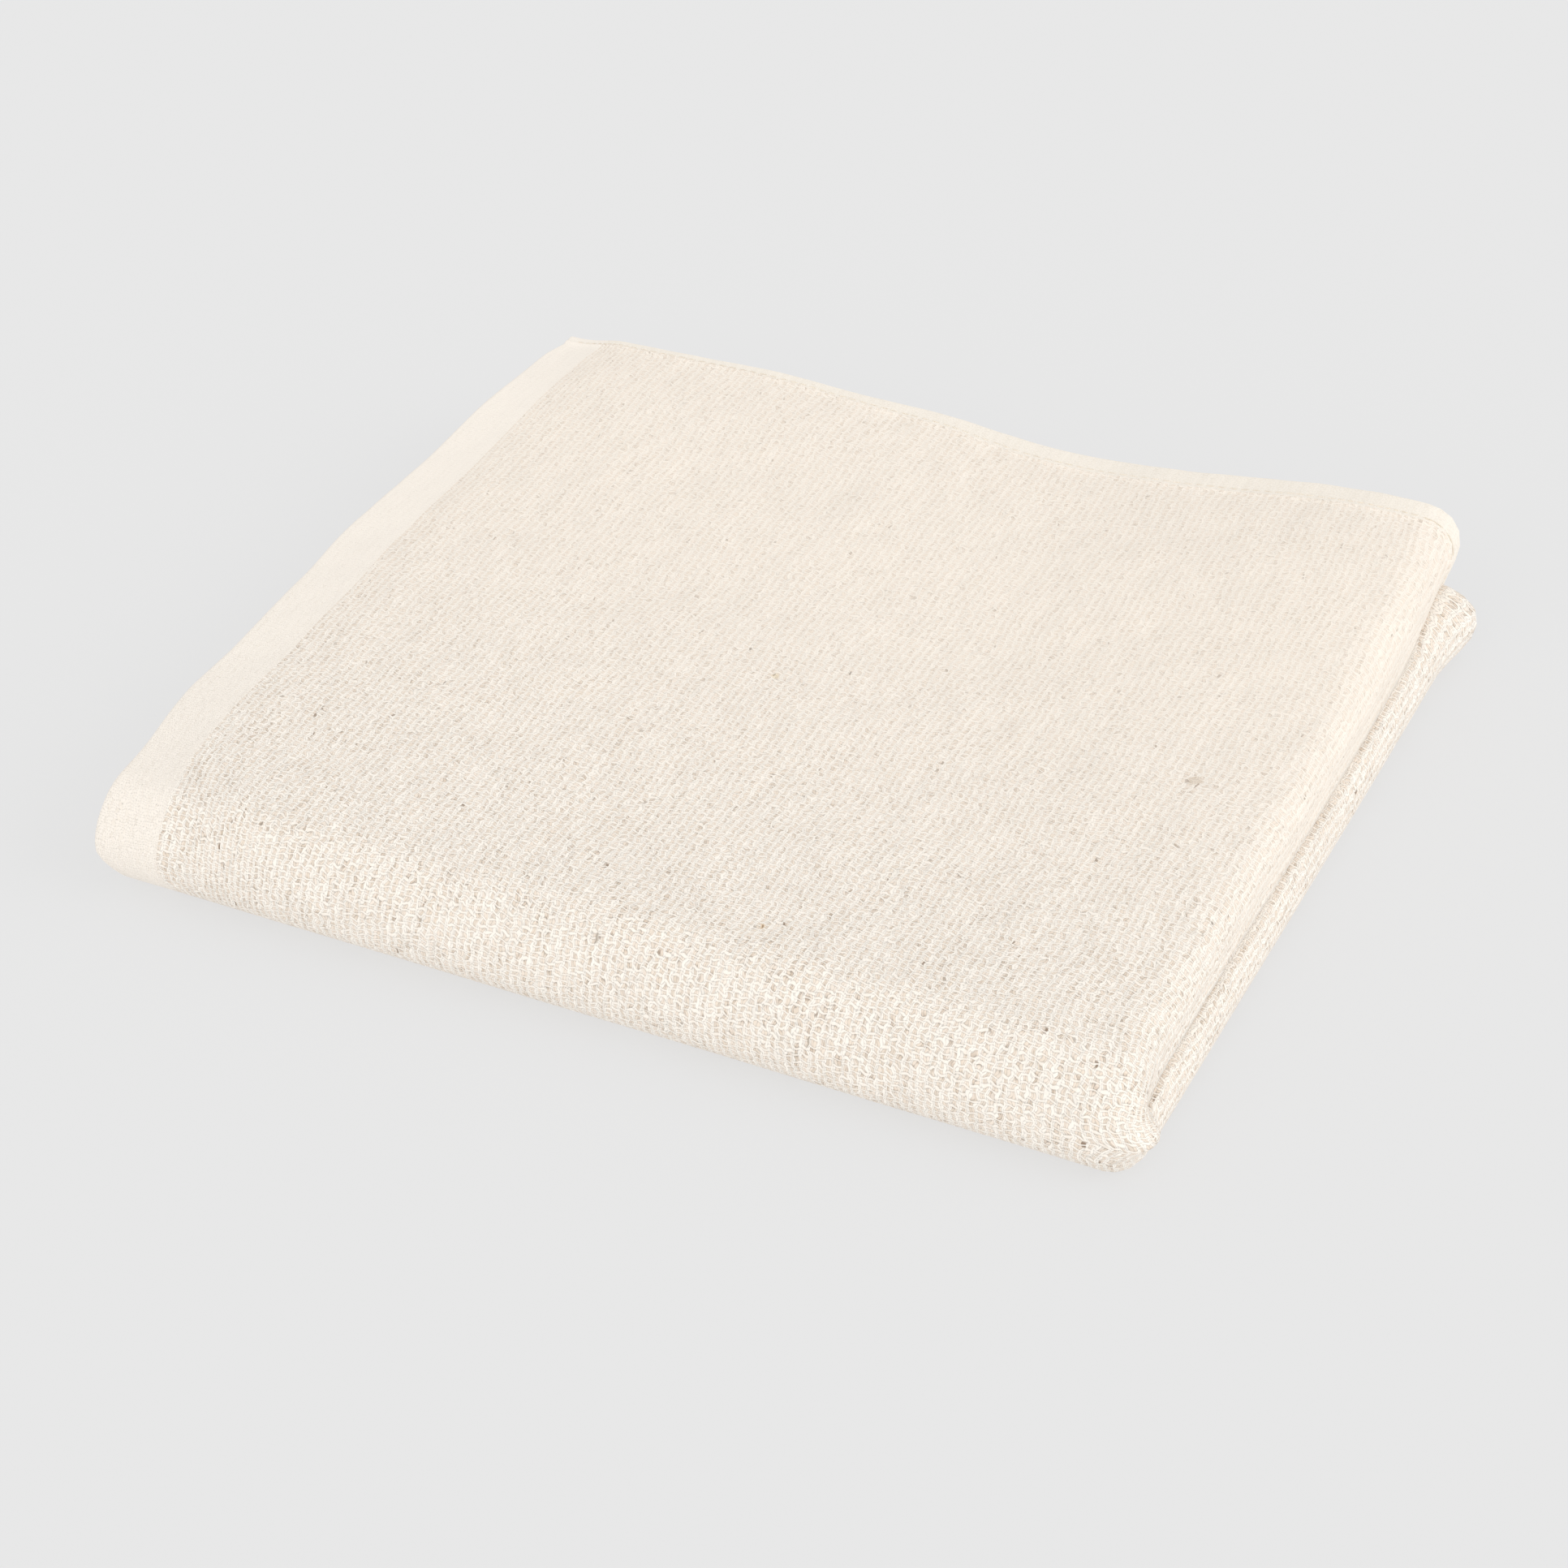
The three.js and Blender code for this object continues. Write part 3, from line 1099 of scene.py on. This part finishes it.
@dataclass
class YarnGroups:
    """The node groups that all cloth finishes share, built once.

    The numbers that end in row keep the noise of one yarn away from that of its neighbours.
    """

    slow_wander_length: float = 24 * MM
    quick_wander_length: float = 1.7 * MM
    crossing_softness: float = 0.25
    crossing_edge: float = 0.15
    # Heights over which the shade painted into the gaps between threads fades out towards a crown
    unshaded_heights: tuple[float, float] = (0.50, 0.76)
    tone_length: float = 9 * MM
    tone_range: tuple[float, float] = (0.25, 0.75)
    tone_row: float = 7.31
    fleck_length: float = 3.4 * MM
    fleck_edge: float = 0.12
    fleck_row: tuple[float, float] = (3.17, 40.0)
    slub_length: float = 1.9 * MM
    slub_row: tuple[float, float] = (17.43, 11.0)
    slub_levels: tuple[float, float] = (0.585, 0.73)
    patch_size: tuple[float, float] = (3 * MM, 9 * MM)
    patch_share: float = 0.22
    mark_edge: tuple[float, float] = (1.15, 0.65)
    chart_cell: bpy.types.NodeTree = field(init=False)
    wander: bpy.types.NodeTree = field(init=False)
    threads: bpy.types.NodeTree = field(init=False)
    yarn: bpy.types.NodeTree = field(init=False)
    slubs: bpy.types.NodeTree = field(init=False)
    fuzz: bpy.types.NodeTree = field(init=False)
    mark: bpy.types.NodeTree = field(init=False)

    def __post_init__(self) -> None:
        """Builds the groups; the threads use the chart cell."""
        self.chart_cell = self.build_chart_cell()
        self.wander = self.build_wander()
        self.threads = self.build_threads()
        self.yarn = self.build_yarn()
        self.slubs = self.build_slubs()
        self.fuzz = self.build_fuzz()
        self.mark = self.build_mark()

    def build_chart_cell(self) -> bpy.types.NodeTree:
        """Whether the weft lies over the warp in one cell of a weave.

        Returns:
            The group.
        """
        g = GroupGraph("chart_cell", {"Thread": 0, "Row": 0, "Chart": 0, "Rows On": 0}, ("Weft Over",))
        at = g.inputs
        repeat = g.whole(at["Thread"], REPEAT)
        column = g.without(at["Thread"], g.times(repeat, REPEAT))
        row = g.maths("FLOORED_MODULO", g.line(repeat, at["Rows On"], at["Row"]), REPEAT)
        bit = g.maths("POWER", 2.0, g.maths("ROUND", g.line(row, REPEAT, column)))
        return g.give(Weft_Over=g.maths("FLOORED_MODULO", g.whole(at["Chart"], bit), 2.0))

    def build_wander(self) -> bpy.types.NodeTree:
        """Places in the cloth, moved a little so that no yarn runs quite straight.

        Returns:
            The group.
        """
        names = ("Across", "Along")
        amounts = {"Slow Wander": self.slow_wander_length, "Quick Wander": self.quick_wander_length}
        g = GroupGraph("wandering_yarns", dict.fromkeys((*names, *amounts), 0.0), names)
        moved = {name: g.inputs[name] for name in names}
        for amount, length in amounts.items():
            place = g.scaled(*(g.inputs[name] for name in names), length, length)
            parts = g.add("ShaderNodeSeparateColor", {0: g.noise(place, output=1)}).outputs
            for name, part in zip(names, parts):
                moved[name] = g.line(g.without(part, 0.5), g.inputs[amount], moved[name])
        return g.give(**moved)

    def build_threads(self) -> bpy.types.NodeTree:
        """Rounded threads that pass over and under each other as a chart says.

        Returns:
            The group. Its height goes from 0 in the gaps to 1 on a raised thread.
            Its fifth output marks where shade is painted into the gaps: 0 deep in a gap, 1 on a crown.
        """
        takes = {"Across": 0, "Along": 0, "Thread Pitch": 1, "Row Pitch": 1, "Chart": 0, "Rows On": 0}
        takes |= {"Roundness": 0.9, "Weft Fill": 1.0}
        g = GroupGraph("woven_threads", takes, ("Height", "Weft", "Thread", "Row", "Lit", "Chance"))
        at = g.inputs
        thread_place = g.maths("DIVIDE", at["Across"], at["Thread Pitch"])
        row_place = g.maths("DIVIDE", at["Along"], at["Row Pitch"])
        thread, row = g.maths("FLOOR", thread_place), g.maths("FLOOR", row_place)
        aside = g.without(g.without(thread_place, thread), 0.5)
        ahead = g.without(g.without(row_place, row), 0.5)

        def weft_over(of_thread: Socket, of_row: Socket) -> Socket:
            """Whether the weft is over in that cell."""
            chart = {"Chart": at["Chart"], "Rows_On": at["Rows On"]}
            return g.use(self.chart_cell, Thread=of_thread, Row=of_row, **chart)[0]

        here = weft_over(thread, row)
        next_thread = weft_over(g.maths("ADD", thread, g.maths("SIGN", aside)), row)
        next_row = weft_over(thread, g.maths("ADD", row, g.maths("SIGN", ahead)))

        # Each yarn is a parabola across, and halfway to its neighbour's height at the cell's edge
        aside_square, ahead_square = g.times(aside, aside), g.times(ahead, ahead)
        weft_lift = g.between(g.times(aside_square, 2.0), here, next_thread)
        warp_lift = g.between(g.times(ahead_square, 2.0), here, next_row)
        filled = g.times(at["Weft Fill"], at["Weft Fill"])
        weft_crown = g.line(g.maths("DIVIDE", ahead_square, filled), -4.0, 1.0)
        warp_crown = g.line(aside_square, -4.0, 1.0)
        weft = g.line(weft_crown, at["Roundness"], weft_lift)
        warp = g.line(warp_crown, at["Roundness"], g.without(1.0, warp_lift))
        top = g.maths("SMOOTH_MAX", weft, warp, self.crossing_softness)
        height = g.maths("DIVIDE", top, g.maths("ADD", at["Roundness"], 1.0))
        over = g.smooth_step(g.without(weft, warp), -self.crossing_edge, self.crossing_edge)

        weft_float = g.chance(g.whole(thread, REPEAT), row)
        warp_float = g.chance(thread, g.whole(row, REPEAT / 2))
        return g.give(
            Height=height,
            Weft=over,
            Thread=thread,
            Row=row,
            # Painted shade in the gaps between threads: 0 where it is deepest, 1 on a crown where there
            # is none
            Lit=g.smooth_step(height, *self.unshaded_heights),
            Chance=g.between(over, warp_float, weft_float),
        )

    def build_yarn(self) -> bpy.types.NodeTree:
        """Tone of a yarn that changes along it, with rare dark flecks.

        Returns:
            The group.
        """
        takes = {"Yarn": 0, "Lengthwise": 0, "Spread": 0.5, "Fleck Level": 0.7}
        g = GroupGraph("yarn_tone", takes, ("Tone", "Fleck"))
        at = g.inputs
        apart = g.times(at["Yarn"], self.tone_row)
        slow = g.noise(g.vector(apart, g.maths("DIVIDE", at["Lengthwise"], self.tone_length)), 1.0)
        low, high = self.tone_range
        tone = g.add("ShaderNodeMapRange", {0: slow, 1: low, 2: high}).outputs[0]
        lone = g.line(at["Yarn"], *self.fleck_row)
        quick = g.noise(g.vector(lone, g.maths("DIVIDE", at["Lengthwise"], self.fleck_length)))
        edge = g.maths("ADD", at["Fleck Level"], self.fleck_edge)
        fleck = g.add("ShaderNodeMapRange", {0: quick, 1: at["Fleck Level"], 2: edge}).outputs[0]
        return g.give(Tone=g.line(g.without(tone, 0.5), at["Spread"], 0.5), Fleck=fleck)

    def build_slubs(self) -> bpy.types.NodeTree:
        """Darker stretches of single linen threads, closer together in some patches.

        Returns:
            The group, whose value goes from 0 to 1 on the darkest stretches.
        """
        g = GroupGraph("linen_slubs", {"Thread": 0, "Across": 0, "Along": 0}, ("Dark",))
        at = g.inputs
        apart = g.line(at["Thread"], *self.slub_row)
        stroke = g.noise(g.vector(apart, g.maths("DIVIDE", at["Along"], self.slub_length)))
        patch = g.noise(g.scaled(at["Across"], at["Along"], *self.patch_size))
        both = g.between(self.patch_share, stroke, patch)
        return g.give(Dark=g.smooth_step(both, *self.slub_levels))

    def build_fuzz(self) -> bpy.types.NodeTree:
        """Short fibres that lie loose on yarn.

        Returns:
            The group, whose value is about 0.5 on average.
        """
        g = GroupGraph("cotton_fuzz", {"Across": 0, "Along": 0, "Fibre": 0.2 * MM}, ("Value",))
        at = g.inputs
        place = g.scaled(at["Across"], at["Along"], at["Fibre"], at["Fibre"])
        return g.give(Value=g.noise(place, 1.0))

    def build_mark(self) -> bpy.types.NodeTree:
        """One long or round spot.

        Returns:
            The group, whose value is 1 in the spot and 0 away from it.
        """
        takes = {"Across": 0, "Along": 0, "Mark Across": 0, "Mark Along": 0}
        g = GroupGraph("lone_mark", takes | {"Half Width": 1, "Half Length": 1}, ("Share",))
        squares = []
        for name, size in (("Across", "Half Width"), ("Along", "Half Length")):
            away = g.without(g.inputs[name], g.inputs["Mark " + name])
            away = g.maths("DIVIDE", away, g.inputs[size])
            squares.append(g.times(away, away))
        away = g.maths("SQRT", g.maths("ADD", *squares))
        return g.give(Share=g.smooth_step(away, *self.mark_edge))


# Finishes


@dataclass(frozen=True)
class Weave:
    """A repeat of four threads by four rows, charted from its last row down; x is weft over."""

    chart: tuple[str, str, str, str]
    rows_on: int
    thread_pitch: float
    row_pitch: float
    rise: float
    weft_fill: float
    skew: float

    def number(self) -> float:
        """The chart as one whole number with a bit for each cell.

        Returns:
            The number, lowest bit for the first thread of the first row.
        """
        cells = "".join(reversed(self.chart))
        return float(sum(2**place for place, mark in enumerate(cells) if mark == "x"))


CREPE = Weave(("....", ".xxx", "....", "xxxx"), 1, 0.4625 * MM, 0.72 * MM, 0.10 * MM, 0.62, 0.10)
CLOSE_RIB = Weave(("x.x.", "x.x.", ".x.x", ".x.x"), 0, 0.50 * MM, 0.70 * MM, 0.10 * MM, 1.1, 0.05)
PLAIN_RIB = Weave(("x.x.", ".x.x", "x.x.", ".x.x"), 0, 0.70 * MM, 0.62 * MM, 0.16 * MM, 1.0, 0.05)


@dataclass(frozen=True)
class YarnColours:
    """Screen colours of the yarns in a zone of the cloth."""

    weft: str
    pale_warp: str
    linen: str
    deep_linen: str
    slub: str
    fleck: str
    nap: str
    # Share of brightness left in the gaps between threads by the painted shade
    painted_gap_light: float
    linen_share: float
    fleck_level: float


class Mark(NamedTuple):
    """A lone seed, slub or speck in the cloth."""

    across: float
    along: float
    half_width: float
    half_length: float
    colour: str
    share: float


MARKS = (
    Mark(92.6 * MM, 257.2 * MM, 0.70 * MM, 1.2 * MM, "E6C79A", 0.7),
    Mark(92.6 * MM, 257.2 * MM, 0.26 * MM, 0.70 * MM, "7A5230", 0.8),
    Mark(28.1 * MM, 343.5 * MM, 1.6 * MM, 1.8 * MM, "D6C4AE", 0.55),
    Mark(26.9 * MM, 342.0 * MM, 0.28 * MM, 1.0 * MM, "A08A76", 0.7),
    Mark(29.6 * MM, 342.6 * MM, 0.50 * MM, 0.45 * MM, "A08A76", 0.6),
    Mark(22.8 * MM, 318.6 * MM, 1.2 * MM, 0.30 * MM, "A8937F", 0.6),
    Mark(7.4 * MM, 298.3 * MM, 0.30 * MM, 0.60 * MM, "8E7E70", 0.7),
    Mark(196.3 * MM, 309.8 * MM, 0.30 * MM, 0.70 * MM, "948272", 0.7),
    Mark(138.7 * MM, 349.3 * MM, 0.34 * MM, 0.60 * MM, "8E7A66", 0.65),
    Mark(129.2 * MM, 342.4 * MM, 1.0 * MM, 1.2 * MM, "EBD9B8", 0.6),
    Mark(129.6 * MM, 342.8 * MM, 0.34 * MM, 0.60 * MM, "967F62", 0.6),
    Mark(113.6 * MM, 350.8 * MM, 0.34 * MM, 0.60 * MM, "8E7E70", 0.65),
    Mark(124.3 * MM, 242.6 * MM, 0.34 * MM, 1.7 * MM, "A39482", 0.7),
    Mark(72.6 * MM, 234.5 * MM, 0.34 * MM, 1.4 * MM, "A89A88", 0.7),
    Mark(208.2 * MM, 247.9 * MM, 0.30 * MM, 0.70 * MM, "948272", 0.7),
)


@dataclass(frozen=True)
class ClothFinish:
    """The finish of one zone of the cloth.

    The cloth is softer and more felted from nap_from to nap_to along it. What ends in lost is the
    share of a contrast that is gone there.
    """

    name: str
    weave: Weave
    yarns: YarnColours
    marks: tuple[Mark, ...] = ()
    slow_wander: float = 2.4 * MM
    quick_wander: float = 1.1 * MM
    warp_spread: float = 1.0
    weft_spread: float = 0.6
    weft_fleck_rise: float = 0.1
    weft_linen: float = 0.12
    weft_cover: float = 0.7
    mottle: float = 0.03
    mottle_sizes: tuple[tuple[float, float], ...] = ((7 * MM, 15 * MM), (1.6 * MM, 8 * MM))
    slub_depth: float = 0.38
    slub_gap_depth: float = 0.28
    slubs_off_linen: float = 0.5
    weft_hides_slubs: float = 0.7
    dash_depth: float = 0.10
    dash_from: float = 0.55
    fine_lost: float = 0.55
    broad_lost: float = 0.6
    rise_lost: float = 0.75
    nap_from: float = 225 * MM
    nap_to: float = 410 * MM
    fuzz_light: float = 0.06
    fuzz_rise: float = 0.12
    roughness: float = 0.94
    crown_polish: float = 0.08
    sheen: float = 0.12
    specular: float = 0.2

    def material(self, groups: YarnGroups) -> bpy.types.Material:
        """Makes the material.

        Args:
            groups: The shared node groups.

        Returns:
            The material.
        """
        material, g, shader = new_material(self.name, self.specular, self.sheen)
        places = g.add("ShaderNodeUVMap", {}, uv_map="cloth").outputs[0]
        across, along = g.add("ShaderNodeSeparateXYZ", {0: places}).outputs[:2]
        weave, yarns = self.weave, self.yarns
        wander = {"Slow_Wander": self.slow_wander, "Quick_Wander": self.quick_wander}
        skewed = g.line(across, -weave.skew, along)
        woven_across, woven_along = g.use(groups.wander, Across=across, Along=skewed, **wander)
        height, weft, thread, row, unshaded, chance = g.use(
            groups.threads,
            Across=woven_across,
            Along=woven_along,
            Thread_Pitch=weave.thread_pitch,
            Row_Pitch=weave.row_pitch,
            Chart=weave.number(),
            Rows_On=float(weave.rows_on),
            Weft_Fill=weave.weft_fill,
        )
        fuzz = g.use(groups.fuzz, Across=across, Along=along)[0]
        far = g.smooth_step(along, self.nap_from, self.nap_to)
        fine_lost = g.times(far, self.fine_lost)
        in_pair = g.maths("COMPARE", g.maths("FLOORED_MODULO", thread, REPEAT), *LINEN_PAIR)
        slubs = g.times(
            g.use(groups.slubs, Thread=thread, Across=across, Along=along)[0],
            g.line(far, -self.broad_lost, 1.0),
            g.between(in_pair, self.slubs_off_linen, 1.0),
        )

        colour = self.yarn_colour(g, groups, (across, along, thread, row, weft, chance, in_pair))
        colour = g.blend(fine_lost, colour, linear(yarns.nap))
        slub_share = g.times(slubs, g.line(weft, -self.weft_hides_slubs, 1.0), self.slub_depth)
        colour = g.blend(slub_share, colour, linear(yarns.slub))
        mark_along = g.line(across, weave.skew, woven_along)
        for mark in self.marks:
            spot = g.use(
                groups.mark,
                Across=woven_across,
                Along=mark_along,
                Mark_Across=mark.across,
                Mark_Along=mark.along,
                Half_Width=mark.half_width,
                Half_Length=mark.half_length,
            )[0]
            colour = g.blend(g.times(spot, mark.share), colour, linear(mark.colour))

        # Painted shade: the base colour is darkened in the gaps between threads, deepest at the front,
        # fading towards the back, and deeper along slubs
        gap_shade_with_slubs = g.between(fine_lost, yarns.painted_gap_light, 1.0)
        gap_shade_with_slubs = g.times(gap_shade_with_slubs, g.line(slubs, -self.slub_gap_depth, 1.0))
        dash = g.times(g.smooth_step(chance, self.dash_from, 1.0), g.without(1.0, weft))
        dash = g.times(dash, g.without(1.0, fine_lost))
        light = g.times(g.between(unshaded, gap_shade_with_slubs, 1.0), g.line(dash, -self.dash_depth, 1.0))
        for sizes in self.mottle_sizes:
            spots = g.noise(g.scaled(across, along, *sizes), 1.0)
            light = g.times(light, g.line(g.line(spots, 2.0, -1.0), self.mottle, 1.0))
        light = g.times(light, g.line(fuzz, self.fuzz_light, 1.0 - self.fuzz_light / 2))
        # The base colour is scaled by the painted gap shade and by the yarns' own random tone
        shaded_colour = g.add("ShaderNodeVectorMath", {0: colour, "Scale": light}, operation="SCALE")
        g.feed(shader.inputs["Base Color"], shaded_colour.outputs[0])
        g.feed(shader.inputs["Roughness"], g.line(height, -self.crown_polish, self.roughness))

        rise = g.between(far, weave.rise, weave.rise * (1.0 - self.rise_lost))
        g.feed(shader.inputs["Normal"], g.bump(g.times(g.line(fuzz, self.fuzz_rise, height), rise)))
        return material

    def yarn_colour(self, g: Graph, groups: YarnGroups, at: tuple[Socket, ...]) -> Socket:
        """Colour of the yarn on top: linen in pairs between pale warps, under a pale weft.

        Args:
            g: The material's graph.
            groups: The shared node groups.
            at: Places across and along, thread, row, weft, chance and whether in a linen pair.

        Returns:
            The colour.
        """
        across, along, thread, row, weft, chance, in_pair = at
        yarns = self.yarns
        warp_tone, warp_fleck = g.use(
            groups.yarn,
            Yarn=thread,
            Lengthwise=along,
            Spread=self.warp_spread,
            Fleck_Level=yarns.fleck_level,
        )
        weft_tone = g.use(
            groups.yarn,
            Yarn=row,
            Lengthwise=across,
            Spread=self.weft_spread,
            Fleck_Level=yarns.fleck_level + self.weft_fleck_rise,
        )[0]
        linen = g.blend(warp_tone, linear(yarns.linen), linear(yarns.deep_linen))
        warp = g.blend(g.times(in_pair, yarns.linen_share), linear(yarns.pale_warp), linen)
        warp = g.blend(warp_fleck, warp, linear(yarns.fleck))
        weft_colour = g.blend(g.times(weft_tone, self.weft_linen), linear(yarns.weft), linen)
        cover = g.line(chance, 1.0 - self.weft_cover, self.weft_cover)
        return g.blend(g.times(weft, cover), warp, weft_colour)


@dataclass(frozen=True)
class ThreadFinish:
    """Twisted sewing thread, with shade painted darker into the grooves of its twist."""

    name: str = "sewing_thread"
    colour: str = "FBF5EA"
    # Colour of the shade painted into the grooves between the plies
    groove: str = "F3EADC"
    twist: float = 0.5 * MM
    lay: float = 1.4
    fibre: float = 0.08 * MM
    rise: float = 0.05 * MM
    roughness: float = 0.7
    specular: float = 0.3
    sheen: float = 0.1

    def material(self, groups: YarnGroups) -> bpy.types.Material:
        """Makes the material.

        Args:
            groups: The shared node groups.

        Returns:
            The material.
        """
        material, g, shader = new_material(self.name, self.specular, self.sheen)
        place = g.add("ShaderNodeTexCoord", {}).outputs["Object"]
        x, y = g.add("ShaderNodeSeparateXYZ", {0: place}).outputs[:2]
        fuzz = g.use(groups.fuzz, Across=x, Along=y, Fibre=self.fibre)[0]
        ply = g.maths("DIVIDE", g.line(y, self.lay, x), self.twist / (2 * math.pi))
        ridge = g.line(g.maths("SINE", ply), 0.5, 0.5)
        # Painted shade: the groove colour in the twist's grooves, the thread's own colour on its
        # ridges, broken up by fuzz
        colour = g.blend(g.times(ridge, fuzz), linear(self.groove), linear(self.colour))
        g.feed(shader.inputs["Base Color"], colour)
        shader.inputs["Roughness"].default_value = self.roughness
        g.feed(shader.inputs["Normal"], g.bump(g.times(g.maths("ADD", ridge, fuzz), self.rise)))
        return material


def new_material(
    name: str, specular: float, sheen: float
) -> tuple[bpy.types.Material, Graph, bpy.types.Node]:
    """Starts a material with a soft matt surface.

    Args:
        name: The material's name.
        specular: How strongly it reflects.
        sheen: How much its loose fibres catch the light.

    Returns:
        The material, the graph to write in, and its shader node.
    """
    material = bpy.data.materials.new(name)
    material.use_nodes = True
    material.node_tree.nodes.clear()
    g = Graph(material.node_tree)
    constants = {"Specular IOR Level": specular, "Sheen Weight": sheen}
    shader = g.add("ShaderNodeBsdfPrincipled", constants | {"Sheen Roughness": SHEEN_ROUGHNESS})
    g.add("ShaderNodeOutputMaterial", {"Surface": shader.outputs[0]})
    return material, g, shader


BODY_FINISH = ClothFinish(
    "crepe_body",
    CREPE,
    YarnColours("FFF8EE", "FFF8EE", "F8EBDD", "EAD9C6", "BBA38B", "9C8774", "F2E7D9", 0.75, 0.85, 0.84),
    marks=MARKS,
)
BAND_FINISH = ClothFinish(
    "cream_band",
    CLOSE_RIB,
    YarnColours("FAF2E8", "F9F1E6", "F6EDE2", "F2E8DB", "E4D8C8", "D7C9B3", "F8F0E5", 0.82, 0.5, 0.90),
    mottle=0.012,
    slub_depth=0.2,
    slub_gap_depth=0.15,
    dash_depth=0.05,
)
HEM_FINISH = ClothFinish(
    "turned_hem",
    PLAIN_RIB,
    YarnColours("F9F2E7", "F7EFE3", "F1E8DA", "EADFCF", "DCD0BF", "CDBFA9", "F6EEE2", 0.85, 0.6, 0.88),
    mottle=0.02,
    slub_depth=0.15,
    slub_gap_depth=0.1,
    dash_depth=0.04,
)


# The studio


@dataclass(frozen=True)
class SoftBox:
    """A large, far and soft light."""

    name: str
    direction: tuple[float, float, float]
    strength: float
    spread: float

    def build(self) -> bpy.types.Object:
        """Makes the light; it shines from its direction towards the towel.

        Returns:
            The light's object.
        """
        light = bpy.data.lights.new(self.name, "SUN")
        light.energy = self.strength
        light.angle = math.radians(self.spread)
        made = link_object(self.name, light)
        made.rotation_mode = "QUATERNION"
        made.rotation_quaternion = Vector(self.direction).to_track_quat("Z", "Y")
        return made


@dataclass(frozen=True)
class Studio:
    """A lit table with a plain pale top, and soft light from all round."""

    floor_size: float = 6.0
    floor_drop: float = 0.05 * MM
    floor_colour: str = "7C7C7C"
    floor_glow: float = 0.602
    sky_strength: float = 0.825
    soft_boxes: tuple[SoftBox, ...] = (
        SoftBox("right_softbox", (1.0, 0.15, 0.30), 1.00, 60),
        SoftBox("front_softbox", (0.0, -1.0, 0.36), 0.78, 70),
    )

    def build(self) -> bpy.types.Object:
        """Makes the floor, the lights and the surroundings.

        Returns:
            The floor's object.
        """
        half = self.floor_size / 2
        corners = [(-half, -half), (half, -half), (half, half), (-half, half)]
        mesh = bpy.data.meshes.new("floor")
        mesh.from_pydata([(x, y, -self.floor_drop) for x, y in corners], [], [(0, 1, 2, 3)])
        material, _, shader = new_material("floor_matt", 0.0, 0.0)
        shader.inputs["Base Color"].default_value = linear(self.floor_colour)
        shader.inputs["Roughness"].default_value = 1.0
        shader.inputs["Emission Color"].default_value = (1.0, 1.0, 1.0, 1.0)
        shader.inputs["Emission Strength"].default_value = self.floor_glow
        mesh.materials.append(material)
        floor = link_object("floor", mesh)

        world = bpy.data.worlds.new("soft_surroundings")
        world.use_nodes = True
        world.node_tree.nodes["Background"].inputs["Color"].default_value = (1.0, 1.0, 1.0, 1.0)
        world.node_tree.nodes["Background"].inputs["Strength"].default_value = self.sky_strength
        bpy.context.scene.world = world
        for soft_box in self.soft_boxes:
            soft_box.build()
        return floor


@dataclass(frozen=True)
class PhotoCamera:
    """The camera at the photograph's place and angle."""

    place: tuple[float, float, float] = (351.2 * MM, -769.5 * MM, 591.1 * MM)
    turn_left: float = 24.74
    tilt_down: float = 35.22
    focal_pixels: float = 5500.0

    def build(self) -> bpy.types.Object:
        """Makes the camera and gives it to the scene.

        Returns:
            The camera's object.
        """
        turn, tilt = math.radians(self.turn_left), math.radians(self.tilt_down)
        flat = math.cos(tilt)
        view = Vector((-math.sin(turn) * flat, math.cos(turn) * flat, -math.sin(tilt)))
        data = bpy.data.cameras.new("photo_camera")
        data.sensor_fit = "HORIZONTAL"
        data.sensor_width = SENSOR_WIDTH
        data.lens = self.focal_pixels / PHOTO_PIXELS * SENSOR_WIDTH
        data.clip_start = 10 * MM
        camera = link_object("photo_camera", data)
        camera.location = self.place
        camera.rotation_mode = "QUATERNION"
        camera.rotation_quaternion = view.to_track_quat("-Z", "Y")
        bpy.context.scene.camera = camera
        return camera


def declare(cloth: bpy.types.Object, stitches: bpy.types.Object, cut: CutCloth) -> None:
    """Ties the pieces to the part's frame.

    Args:
        cloth: The towel's sheet.
        stitches: Its hem stitches.
        cut: The cloth before it was folded; not used.
    """
    for piece in (cloth, stitches):
        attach(piece, BODY)
        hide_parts(CLOTH_NODE)


def main() -> None:
    """Builds the towel and its studio, and reports each piece."""
    logging.basicConfig(level=logging.INFO, format="%(name)s: %(message)s")
    camera = PhotoCamera().build()
    log.info("%s: lens %.1f mm", camera.name, camera.data.lens)

    groups = YarnGroups()
    finishes = {
        Zone.BODY: BODY_FINISH.material(groups),
        Zone.BAND: BAND_FINISH.material(groups),
        Zone.HEM: HEM_FINISH.material(groups),
    }
    towel = TowelCloth()
    seat = towel.seat()
    cloth = towel.build(seat, finishes)
    log.info("%s: %d faces", cloth.name, len(cloth.data.polygons))
    stitches = HemStitches(towel).build(seat, ThreadFinish().material(groups))
    log.info("%s: %d faces", stitches.name, len(stitches.data.polygons))
    declare(cloth, stitches, towel.cut)

    floor = Studio().build()
    log.info("%s: %.1f m wide", floor.name, floor.dimensions.x)

    bpy.context.scene.view_settings.view_transform = "Standard"


if __name__ == "__main__":
    main()
